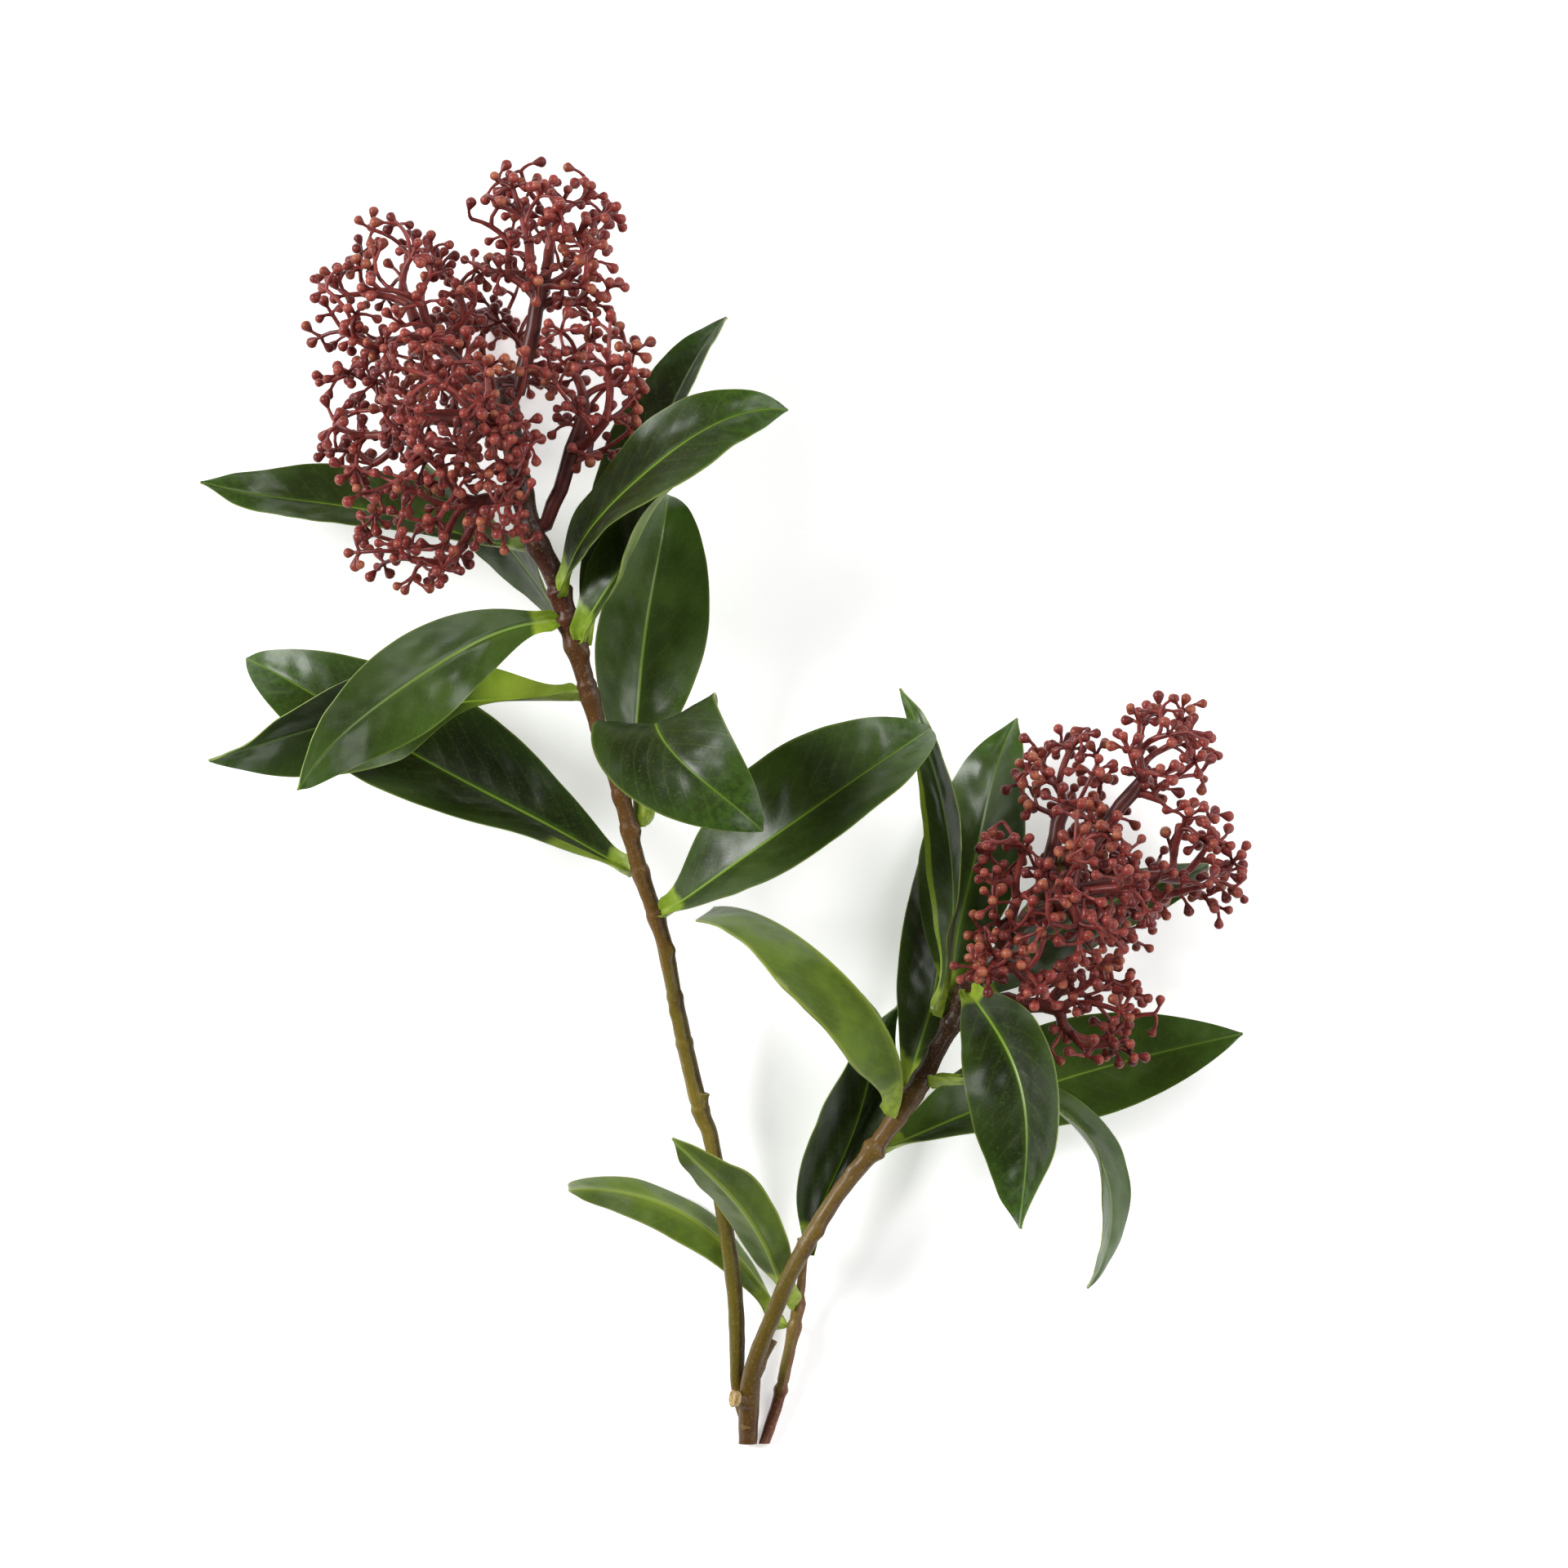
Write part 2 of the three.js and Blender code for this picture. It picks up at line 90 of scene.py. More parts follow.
# Centre line of each stem: x, y, z and radius, from its foot to its tip.
STEMS = {
    "trunk": [
        (6.3, -193.4, 2.9, 2.8), (6.9, -178, 9.5, 3.1), (8.4, -168, 14, 2.6), (13.2, -155, 19.5, 2.5),
        (20.3, -138, 25, 2.5), (32.2, -118, 28, 2.5), (44.1, -102.6, 30, 2.6), (55.5, -86.4, 32, 2.8),
        (65, -69, 34, 2.7), (73, -54, 36, 2.5), (86, -38, 39, 1.9), (102, -15, 42, 1.5),
    ],
    "left_stem": [
        (3.2, -176.5, 6, 1.9), (3.2, -162, 9, 2.4), (1.8, -142, 12, 2.4), (-4.2, -103, 16, 2.4),
        (-7.8, -91.7, 18, 2.6), (-13.6, -66.3, 25, 2.4), (-18.6, -40.7, 31, 2.4), (-25.5, -20.1, 36, 2.4),
        (-30.9, 2.3, 40, 2.4), (-37, 20.8, 42, 2.5), (-44.2, 46.5, 45, 2.8), (-47.8, 58, 46, 3.1),
        (-50.5, 67, 47, 3.2), (-56.6, 79, 48, 3.2), (-61, 97, 48, 3.1), (-65, 121, 48, 3),
    ],
    "side_twig": [
        (11.2, -193.4, 2, 1.8), (15.6, -179.5, 4, 1.8), (19.4, -162.5, 5.5, 1.8), (21.4, -152, 6.5, 1.6),
        (22.8, -139, 8, 1.2), (22.2, -131, 9, 1.1),
    ],
}

# Short side shoots: stem, place along Y, heading, rise, length, radius.
NUBS = [
    ("trunk", -179.5, 172, 35, 6.3, 2.4),
    ("trunk", -172, 62, 10, 13, 1.9),
    ("left_stem", -92, 80, 20, 5.5, 1.8),
]

# Leaves: name, stem, place along Y, heading, rise, bow, arch, length, half width, fold, roll, twist,
# curl, sway.
LEAVES = [
    ("upper_leaf_01", "left_stem", 75, 172, -45, -8, 71, 109, 11.5, 0.5, -47, 13, -11, -7),
    ("upper_leaf_02", "left_stem", 53, 127, -46, 9, 47, 75, 10, 0.3, 58, 12, -2, -3),
    ("upper_leaf_03", "left_stem", 45, 84, -7, -33, -13, 113, 14, 0.45, 46, 6, -20, -5),
    ("upper_leaf_04", "left_stem", 61, 85, 44, -90, -55, 98, 14.5, 0.2, 74, -50, -26, -10),
    ("upper_leaf_05", "left_stem", 47, 80, 30, -41, -25, 55, 10, 0.45, 41, 35, -6, -13),
    ("upper_leaf_06", "left_stem", 2, 79, -31, 7, 67, 96, 17, 0.5, -6, -19, -110, 5),
    ("upper_leaf_07", "left_stem", 54, 180, 21, 70, -20, 98, 14, 0.35, -6, 49, 60, 9),
    ("upper_leaf_08", "left_stem", -8, 83, 5, 53, 197, 114, 19.5, 0.15, 179, 2, 28, -16),
    ("upper_leaf_09", "left_stem", -34, 38, 40, -6, -55, 107, 19.5, 0.45, 48, -20, -49, -1),
    ("upper_leaf_10", "left_stem", -21, 146, -13, 10, 22, 137, 19.5, 0.4, -43, 29, -61, 4),
    ("upper_leaf_11", "left_stem", 31, 179, -9, 22, 26, 114, 14, 0.5, -48, 112, 29, -1),
    ("right_leaf_01", "trunk", -93.5, 67, 37, 140, -73, 110, 20, 0.5, 124, -39, -65, 13),
    ("right_leaf_02", "trunk", -87, 74, -18, 21, 4, 80, 14, 0.3, 5, -53, -14, -7),
    ("right_leaf_03", "trunk", -65, 76, 8, 42, -7, 100, 7.5, 0.35, 79, -40, -15, 0),
    ("right_leaf_04", "trunk", -60, 93, -20, -33, 20, 89, 16.5, 0.15, 2, 50, -28, -7),
    ("right_leaf_05", "trunk", -57, 26, -48, 6, 75, 96, 10.5, 0.3, -22, -12, 54, 10),
    ("right_leaf_06", "trunk", -103, 24, -30, -12, 65, 117, 16, 0.4, 48, -49, -42, 0),
    ("right_leaf_07", "trunk", -56, 306, 73, -42, -109, 85, 14.5, 0.4, 12, -65, 46, 7),
    ("right_leaf_08", "trunk", -82, 13, 30, -134, -71, 106, 11, 0.3, 90, -40, 2, 4),
    ("twig_leaf_01", "side_twig", -136, 88, 7, -35, -22, 80, 18.5, 0.4, -9, -48, 6, -13),
    ("twig_leaf_02", "side_twig", -158, 122, -1, 55, 20, 90, 7, 0.3, 126, 45, 65, -6),
    ("twig_leaf_03", "side_twig", -152, 111, 36, 24, -9, 75, 8.5, 0.3, 210, 12, -12, -5),
]
WIDEST = 0.54
FOOT_POWER = 1.15
FOLD_POWER = 1.4
PETIOLE_HALF = 1.3
TIP_HALF = 0.3
RIB_STEPS = 40
# Share of a leaf's length where its curl sets in.
CURL_START = 0.6

# Sprigs of buds: name, stem, place along Y, then the centre and half sizes of the space it fills.
SPRIGS = [
    ("left_sprig_top", "left_stem", 120, (-50, 164, 52), (24, 24, 22)),
    ("left_sprig_far", "left_stem", 117, (-96, 147, 48), (26, 25, 20)),
    ("left_sprig_right", "left_stem", 80, (-38.5, 121, 52), (20, 22.5, 20)),
    ("left_sprig_front", "left_stem", 106, (-76, 115, 78), (24, 22, 19)),
    ("left_sprig_low", "left_stem", 90, (-90, 84, 52), (22, 23, 19)),
    ("left_sprig_near", "left_stem", 94, (-62, 90, 70), (15, 17, 15)),
    ("left_sprig_side", "left_stem", 112, (-105, 114, 42), (18, 22, 20)),
    ("left_sprig_back", "left_stem", 114, (-74, 132, 18), (26, 26, 18.9)),
    ("right_sprig_top", "trunk", -17, (127.5, 14, 48), (17.5, 18.5, 17)),
    ("right_sprig_left", "trunk", -21, (100, 5, 42), (18, 17, 18)),
    ("right_sprig_far", "trunk", -27, (139, -19, 42), (17, 18, 17)),
    ("right_sprig_low", "trunk", -56, (109, -62, 45), (18.5, 17, 17)),
    ("right_sprig_side", "trunk", -42, (87, -26, 52), (18, 20, 17)),
    ("right_sprig_front", "trunk", -34, (108, -23, 68), (18, 22, 15)),
    ("right_sprig_near", "trunk", -50, (88, -47, 62), (20, 14, 14)),
    ("right_sprig_back", "trunk", -31, (112, -26, 22), (22, 24, 21)),
]
AXIS_SHARE = 0.8
AXIS_POINTS = 7
FORKS = 7
FORK_DEPTH = 0.8
FORK_STRETCH = 0.7
FORK_REACH = 0.6
BUDS_PER_CM3 = 0.64
HOLLOW_SHARE = 0.12
FILLED_SHARE = 0.8
STALK_FEET = (0.35, 0.95)
STALK_LENGTHS = (5.5, 17)
SPACE_EASE = 0.12
WIDEST_STEM = 3.2
LEAF_CLEAR = 2.4
SOLID_AXIS_RADIUS = 1.5
SOLID_FORK_RADIUS = 0.75
SOLID_BUD_RADIUS = 2.5

# ---- Finer sizes that only the dressed spray has ----

# Stems: a ring of vertices every step along the bark, and the depth of its relief.
BARK_STEP = 0.8
BARK_SIDES = 40
BARK_RELIEF = 0.13
# The cut end stands upright, and the rings turn square to the stem over this length.
FOOT_LENGTH = 6
# Edges sharper than this many degrees stay crisp.
SHARP_ANGLE = 50
# A stem swells where a leaf or sprig stands on it, and has a fine crease just past that place.
NODE_SWELL = 0.55
NODE_LENGTH = 2.6
CREASE_PLACE = 2.2
CREASE_DEPTH = 0.22
CREASE_LENGTH = 0.55
# The dressed left stem grows out of the trunk, a little below the end of its solid.
ROOTS = {"left_stem": [(6.2, -188.5, 7, 1.7)]}
# Bare rings: stem, place along Y and height. Each has a groove past it, at a distance and half as deep.
RINGS = [
    ("side_twig", -177, 0.5), ("left_stem", 34, 0.35), ("left_stem", 62, 0.55), ("left_stem", -92, 0.4),
    ("left_stem", -58, 0.25), ("left_stem", -72, 0.3), ("trunk", -103, 0.45), ("trunk", -132, 0.2),
    ("side_twig", -150, 0.35), ("trunk", -66, 0.3),
]
RING_LENGTH = 1.1
GROOVE_PLACE = 1.9
GROOVE_LENGTH = 0.6
# Small leaf scars: stem, place along Y, heading and height.
SCARS = [
    ("left_stem", 43, 20, 1.1), ("left_stem", 22, 165, 1.2), ("left_stem", -27, 170, 1.1),
    ("left_stem", -9, 5, 1.0), ("left_stem", -44, 10, 1.0), ("left_stem", -62, 175, 0.8),
    ("left_stem", -80, 160, 0.7), ("trunk", -127, 330, 0.9), ("trunk", -110, 130, 0.7),
    ("trunk", -103, 310, 1.0), ("trunk", -146, 200, 0.6), ("trunk", -73, 150, 0.9),
]
SCAR_RISE = 35
SCAR_LENGTH = 1.7
SCAR_SPAN = 28
# A side shoot's outline as shares of its length and radius, and the rings of faces that are bare at its end.
SHOOT_PROFILE = [
    (0.0, 1.5), (0.3, 1.3), (0.5, 1.06), (0.7, 0.98), (0.86, 1.02), (0.96, 1.1), (1.0, 1.04), (1.0, 0.86),
    (0.95, 0.74), (0.93, 0.4),
]
BARE_RINGS = (6, 3, 3)

# Leaves: a fine grid, thin at its edge and as thick as a stalk at its foot.
BLADE_STATIONS = 84
BLADE_COLUMNS = 32
# How strongly stations crowd at both ends of a blade, and columns at its rib.
CROWDING = 0.3
BLADE_THICKNESS = 0.7
EDGE_THICKNESS = 0.42
# The foot is a pale folded cuff, wider than the stalk of the solid leaf, with a wrinkled end.
CUFF_LENGTH = 9
CUFF_HALF = 3.1
CUFF_THICKNESS = 1.5
CUFF_FOLD = 1.9
# The cuff's end narrows and sinks this share of the way into the stem.
FOOT_SINK = 0.45
CUFF_WRINKLE = 0.7
RIB_GROOVE = 0.4
RIB_RIDGE = 0.7
RIB_SPREAD = 0.7
WAVE_HEIGHT = 2.0
DENT_HEIGHT = 1.0
RIPPLE_HEIGHT = 0.35
QUILT_HEIGHT = 0.09
VEIN_SPACING = 8.5
VEIN_SLANT = 0.8
# Leaves whose upper face is not the plain one, and leaves with a fresh green underside.
# The dark and light faces are darker and lighter copies of the plain face: painted shade and painted sheen.
FACES = {
    "dark": ("upper_leaf_03", "upper_leaf_04", "upper_leaf_08", "right_leaf_07", "twig_leaf_01"),
    "light": ("upper_leaf_06", "upper_leaf_07", "right_leaf_04", "right_leaf_06", "right_leaf_08"),
    "pale_footed": ("upper_leaf_11",),
    "pale_edged": ("right_leaf_03",),
    "pale_heeled": ("upper_leaf_10",),
}
FRESH_LEAVES = ("upper_leaf_05", "upper_leaf_11", "right_leaf_01", "twig_leaf_02")
# Leaves with one half narrower: its side, its share of the full width, and how far up the leaf it is so.
NARROWED = {"upper_leaf_11": (-1, 0.3, 0.5), "twig_leaf_01": (1, 0.2, 1.3)}
# One unit of a leaf's UV map, so that veins keep their real size on every leaf.
UV_UNIT = 150

# Sprigs: each large bud of the solids stands for a group of small ones around the same place.
# A stalk that carries n groups is this thick times a power of n, and thicker where it forks.
STALK_RADIUS = 0.5
STALK_POWER = 0.56
THICKEST_STALK = 2.3
FORK_FLARE = 1.25
STALK_STEP = 3
# A new stalk leaves the joint that is near its end and not far out from the stem, past these first ones.
BARE_JOINTS = 3
DETOUR_COST = 0.4
BACKWARD_COST = 12
# How much of the direction they leave stalks and pedicels keep, and how far things stray by chance.
STALK_PULL = 0.8
PEDICEL_PULL = 0.7
AXIS_JITTER = 0.7
STALK_JITTER = 0.15
BUD_JITTER = 0.25
PEDICEL_RADII = (0.6, 0.47, 0.54)
GROUP_BUDS = (3, 6)
GROUP_REACH = (3.8, 7.2)
BRIDGE_DEPTHS = (0.9, 1.3)
BRIDGE_REACH = 1.15
BUD_WIDTH = 3.4
BUD_SPACING = 3.3
# How far a small bud stays off stems, how far out in its own space it may stand, how far it may reach into
# the space of its neighbours, and how far it stays off leaves.
BUD_CLEAR = 1.2
BUD_REACH = 1.14
BUD_EASE = -0.2
BUD_LEAF_CLEAR = 1.0
# How far the buds of a group lean away, how their sizes differ, and the share that keeps its group's tint.
BUD_TILTS = (35, 98)
BUD_SCALES = (0.84, 1.1)
TINTED_ALIKE = 0.7
# Upright shafts that the heads leave open: x, y and radius.
SHAFTS = [
    (-64.6, 132.7, 4.6), (-55.8, 117.2, 5), (-51.2, 94.5, 5), (-51.6, 85, 5), (-75.9, 164.5, 4.5),
    (-34, 187, 7.5), (-121.5, 112, 5.5), (125.4, -4, 4.4), (125.4, -12.5, 4.4),
]
# Further places that a sprig's stalks grow to.
FAR_ENDS = {"left_sprig_top": [(-66, 181, 56), (-60, 185, 48), (-69, 176, 64)]}
# No bud's heart is lower than this, so that the spray rests on its stems and leaves.
LOWEST_BUD = 2.6
STALK_SIDES = 8
TINTS = 4

# ---- Vectors and paths ----

GOLDEN_ANGLE = math.pi * (3 - math.sqrt(5))
UP = Vector((0, 0, 1))


def mix(a, b, share):
    return a + (b - a) * share


def smooth(low, high, value):
    """0 below low, 1 above high and an even curve between them."""
    share = min(max((value - low) / (high - low), 0), 1)
    return share * share * (3 - 2 * share)


def bell(value, width):
    """A hump of height 1 at zero that fades out over a few widths."""
    return math.exp(-((value / width) ** 2))


def headed(heading, rise):
    level = math.cos(math.radians(rise))
    turn = math.radians(heading)
    return Vector((level * math.cos(turn), level * math.sin(turn), math.sin(math.radians(rise))))


def path_point(path, k):
    """The k-th point of a path, which runs on straight past either end."""
    last = len(path) - 1
    if k < 0:
        return [2 * value - path[1][j] for j, value in enumerate(path[0])]
    if k > last:
        return [2 * value - path[last - 1][j] for j, value in enumerate(path[last])]
    return path[k]


def path_at(path, t):
    """A smooth curve through the path's points: place, radius and direction at t, counted in points."""
    i = min(max(math.floor(t), 0), len(path) - 2)
    s = t - i
    value = []
    slope = []
    for a, b, c, d in zip(*(path_point(path, i + k) for k in (-1, 0, 1, 2))):
        first = c - a
        second = 2 * a - 5 * b + 4 * c - d
        third = 3 * (b - c) + d - a
        value.append(b + 0.5 * s * (first + s * (second + s * third)))
        slope.append(0.5 * (first + s * (2 * second + 3 * s * third)))
    return SimpleNamespace(place=Vector(value[:3]), radius=value[3], dir=Vector(slope[:3]).normalized())


def stem_at_y(path, y):
    """Where a stem reaches the given place along Y."""
    low = 0
    high = len(path) - 1
    for _ in range(40):
        middle = (low + high) / 2
        if path_at(path, middle).place.y < y:
            low = middle
        else:
            high = middle
    return path_at(path, low)


def seat(stem, y, direction, radius):
    """The point beside a stem where a piece of the given radius starts off, clear of the bark."""
    at = stem_at_y(STEMS[stem], y)
    outward = (direction - at.dir * direction.dot(at.dir)).normalized()
    slant = math.sqrt(max(0, 1 - direction.dot(outward) ** 2))
    return at.place + outward * (at.radius + GAP + radius * slant)


def swung(first, second, angle):
    """A direction turned from the first towards the second by an angle."""
    return first * math.cos(angle) + second * math.sin(angle)


def random_source(seed):
    """A seeded source of even random numbers from 0 to 1, the same one as the solids use."""
    state = seed & 0xFFFFFFFF

    def rand():
        nonlocal state
        state = (state + 0x6D2B79F5) & 0xFFFFFFFF
        mixed = ((state ^ (state >> 15)) * (state | 1)) & 0xFFFFFFFF
        mixed ^= (mixed + (((mixed ^ (mixed >> 7)) * (mixed | 61)) & 0xFFFFFFFF)) & 0xFFFFFFFF
        return ((mixed ^ (mixed >> 14)) & 0xFFFFFFFF) / 4294967296

    return rand


def turned_frames(places):
    """The directions along and across a path at each of its places, turned as little as they can be."""
    frames = []
    across = None
    for i, _ in enumerate(places):
        forward = (places[min(i + 1, len(places) - 1)] - places[max(i - 1, 0)]).normalized()
        if across is None:
            across = UP if UP.cross(forward).length > 0.1 else Vector((1, 0, 0))
        across = (across - forward * across.dot(forward)).normalized()
        frames.append((forward, across, forward.cross(across)))
    return frames


# ---- Meshes and pieces ----

def linked(name, data):
    """A new object at the origin of the scene."""
    thing = bpy.data.objects.new(name, data)
    bpy.context.scene.collection.objects.link(thing)
    return thing


def mesh_object(name, vertices, faces, materials, indices=None):
    """A smooth mesh in metres, in the row frame, with its creases kept sharp."""
    mesh = bpy.data.meshes.new(name)
    mesh.from_pydata([(vertex - ORIGIN) * MM for vertex in vertices], [], faces)
    for material in materials:
        mesh.materials.append(material)
    mesh.polygons.foreach_set("use_smooth", [True] * len(mesh.polygons))
    if indices:
        mesh.polygons.foreach_set("material_index", indices)
    mesh.update()
    mesh.set_sharp_from_angle(angle=math.radians(SHARP_ANGLE))
    return linked(name, mesh)


def settle(piece, node):
    """Hands a finished piece over to the frame, in place of the node that it dresses."""
    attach(piece, "root")
    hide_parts(node)


def ring_faces(first, count, rings):
    """The quads of a tube whose rings of vertices follow each other from the given vertex on."""
    faces = []
    for r in range(rings - 1):
        for k in range(count):
            a = first + r * count + k
            b = first + r * count + (k + 1) % count
            faces.append((a, b, b + count, a + count))
    return faces


# ---- Shader helpers ----

def srgb(red, green, blue):
    """A colour named by its 8-bit screen values, as the shader wants it."""
    def linear(level):
        share = level / 255
        return share / 12.92 if share <= 0.04045 else ((share + 0.055) / 1.055) ** 2.4

    return (linear(red), linear(green), linear(blue), 1)


def feed(tree, socket, value):
    """Links a socket to another one, or sets it; a colour may be given by its three screen values."""
    if isinstance(value, bpy.types.NodeSocket):
        tree.links.new(value, socket)
    else:
        socket.default_value = srgb(*value) if socket.type == "RGBA" and len(value) == 3 else value


def add(tree, kind, inputs=None, **settings):
    """Adds a node, sets its properties, then feeds its inputs by name or number."""
    node = tree.nodes.new(kind)
    for key, value in settings.items():
        setattr(node, key, value)
    for key, value in (inputs or {}).items():
        feed(tree, node.inputs[key], value)
    return node


def calc(tree, operation, a, b=0.0, c=0.0):
    return add(tree, "ShaderNodeMath", {0: a, 1: b, 2: c}, operation=operation).outputs[0]


def fade(tree, value, low, high, to_low=0.0, to_high=1.0):
    """A smooth step from to_low to to_high as value goes from low to high."""
    inputs = {"Value": value, "From Min": low, "From Max": high, "To Min": to_low, "To Max": to_high}
    return add(tree, "ShaderNodeMapRange", inputs, interpolation_type="SMOOTHSTEP").outputs["Result"]


def blend(tree, share, a, b):
    """Colour a turning to colour b by share."""
    return add(tree, "ShaderNodeMix", {0: share, 6: a, 7: b}, data_type="RGBA").outputs[2]


def paint(tree, colour, *coats):
    """Lays coats over a colour, each given by a mask, the most that it covers and its own colour."""
    for mask, most, coat in coats:
        colour = blend(tree, calc(tree, "MULTIPLY", mask, most), colour, coat)
    return colour


def cloudy(tree, place, scale, detail, roughness=0.5):
    """A value that wanders softly from place to place."""
    inputs = {"Vector": place, "Scale": scale, "Detail": detail, "Roughness": roughness}
    return add(tree, "ShaderNodeTexNoise", inputs).outputs[0]


def new_group(name, inputs, outputs):
    """An empty shader node group with a place to read, named float inputs and named float outputs."""
    group = bpy.data.node_groups.new(name, "ShaderNodeTree")
    group.interface.new_socket("Place", in_out="INPUT", socket_type="NodeSocketVector")
    for label, value in inputs.items():
        socket = group.interface.new_socket(label, in_out="INPUT", socket_type="NodeSocketFloat")
        socket.default_value = value
    for label in outputs:
        group.interface.new_socket(label, in_out="OUTPUT", socket_type="NodeSocketFloat")
    return group, group.nodes.new("NodeGroupInput").outputs, group.nodes.new("NodeGroupOutput").inputs


def own_place(tree):
    """A point of the piece in its own coordinates."""
    return add(tree, "ShaderNodeTexCoord").outputs["Object"]


def use(tree, group, place, **values):
    """Sets a node group in a material with its own values; spaces in input names are underscores here."""
    inputs = {key.replace("_", " "): value for key, value in values.items()}
    return add(tree, "ShaderNodeGroup", {"Place": place, **inputs}, node_tree=group).outputs


def mottle_group():
    """Uneven colour: soft patches, small specks and streaks that run along the third coordinate."""
    sizes = {"Patch Size": 12.0, "Speck Size": 1.2, "Streak Size": 1.0}
    group, given, out = new_group("mottle", sizes, ["Patches", "Specks", "Streaks"])
    place = given["Place"]
    drawn_out = add(group, "ShaderNodeMapping", {"Vector": place, "Scale": (1, 1, 0.12)}).outputs[0]
    for label, size, vector, low, high in (
        ("Patches", "Patch Size", place, 0.36, 0.64),
        ("Specks", "Speck Size", place, 0.52, 0.72),
        ("Streaks", "Streak Size", drawn_out, 0.38, 0.62),
    ):
        spots = cloudy(group, vector, calc(group, "DIVIDE", 1 / MM, given[size]), 3.0, 0.55)
        group.links.new(fade(group, spots, low, high), out[label])
    return group


def grain_group():
    """The fine grain of a moulded or coated skin, as a height."""
    group, given, out = new_group("skin_grain", {"Size": 0.5, "Unevenness": 0.5}, ["Height"])
    scale = calc(group, "DIVIDE", 1 / MM, given["Size"])
    fine = cloudy(group, given["Place"], scale, 2.0)
    broad = cloudy(group, given["Place"], calc(group, "MULTIPLY", scale, 0.12), 2.0)
    group.links.new(calc(group, "MULTIPLY_ADD", broad, given["Unevenness"], fine), out["Height"])
    return group


def vein_group():
    """A leaf's rib, the paler strip beside it and its side veins, on the leaf's own map."""
    sizes = {"Rib Width": 0.5, "Strip Width": 1.6, "Waver": 3.0}
    sizes.update({"Spacing": VEIN_SPACING, "Slant": VEIN_SLANT})
    group, given, out = new_group("leaf_veins", sizes, ["Rib", "Strip", "Veins", "Height"])
    xy = add(group, "ShaderNodeSeparateXYZ", {0: given["Place"]}).outputs
    along = calc(group, "MULTIPLY", xy[0], UV_UNIT)
    across = calc(group, "MULTIPLY", calc(group, "ABSOLUTE", calc(group, "SUBTRACT", xy[1], 0.5)), UV_UNIT)
    uneven = fade(group, cloudy(group, given["Place"], 9.0, 3.0), 0.35, 0.65, 0.75, 1.25)
    narrow = calc(group, "MULTIPLY", fade(group, along, 20.0, 110.0, 1.0, 0.45), uneven)

    def band(width, inner):
        """1 on the rib, 0 past a width that narrows along the leaf."""
        share = calc(group, "DIVIDE", across, calc(group, "MULTIPLY", given[width], narrow))
        return fade(group, share, inner, 1.0, 1.0, 0.0)

    rib = band("Rib Width", 0.6)
    bent = calc(group, "MULTIPLY", calc(group, "POWER", across, 1.25), given["Slant"])
    wander = calc(group, "SUBTRACT", cloudy(group, given["Place"], 16.0, 4.0), 0.5)
    slanted = calc(group, "MULTIPLY_ADD", wander, given["Waver"], bent)
    row = calc(group, "DIVIDE", calc(group, "SUBTRACT", along, slanted), given["Spacing"])
    off_centre = calc(group, "ABSOLUTE", calc(group, "SUBTRACT", calc(group, "FRACT", row), 0.5))
    veins = fade(group, off_centre, 0.0, 0.12, 1.0, 0.0)
    height = calc(group, "MULTIPLY_ADD", rib, 0.5, calc(group, "MULTIPLY", veins, 0.3))
    values = {"Rib": rib, "Strip": band("Strip Width", 0.2), "Veins": veins, "Height": height}
    for label, value in values.items():
        group.links.new(value, out[label])
    return group


mottle = mottle_group()
skin_grain = grain_group()
leaf_veins = vein_group()


def new_material(name, roughness, specular):
    """A material with its one Principled shader, whose even values sit on its own sockets."""
    material = bpy.data.materials.new(name)
    material.use_nodes = True
    surface = material.node_tree.nodes["Principled BSDF"]
    surface.inputs["Roughness"].default_value = roughness
    surface.inputs["Specular IOR Level"].default_value = specular
    return material, material.node_tree, surface


def finish(tree, surface, colour, height, strength, depth):
    """Gives the shader its colour, and a bump whose height counts in depths of so many millimetres."""
    tree.links.new(colour, surface.inputs["Base Color"])
    inputs = {"Height": height, "Strength": strength, "Distance": depth * MM}
    tree.links.new(add(tree, "ShaderNodeBump", inputs).outputs[0], surface.inputs["Normal"])


# ---- Materials ----

def blade_places(tree):
    """A leaf's own places: its map, the shares along and from rib to edge, and millimetres from its foot."""
    map_place = add(tree, "ShaderNodeUVMap", uv_map="blade_mm").outputs[0]
    shares = add(tree, "ShaderNodeUVMap", uv_map="blade_share").outputs[0]
    spot = add(tree, "ShaderNodeSeparateXYZ", {0: map_place}).outputs
    share = add(tree, "ShaderNodeSeparateXYZ", {0: shares}).outputs
    distance = calc(tree, "MULTIPLY", spot[0], UV_UNIT)
    return SimpleNamespace(map=map_place, across=spot[1], along=share[0], edge=share[1], distance=distance)


def cuff_share(tree, at, spots, length, ease=3.0):
    """1 on the pale cuff at a leaf's foot, 0 past its uneven end."""
    ragged = calc(tree, "MULTIPLY_ADD", spots["Patches"], 4.0, at.distance)
    slanted = calc(tree, "MULTIPLY_ADD", at.edge, -2.0, ragged)
    return fade(tree, slanted, length, length + ease, 1.0, 0.0)


def veined(tree, veins, size, unevenness):
    """The height of a leaf's skin: its grain, with the rib and the veins standing out."""
    grain = use(tree, skin_grain, own_place(tree), Size=size, Unevenness=unevenness)
    return calc(tree, "MULTIPLY_ADD", veins["Height"], 1.5, grain["Height"])


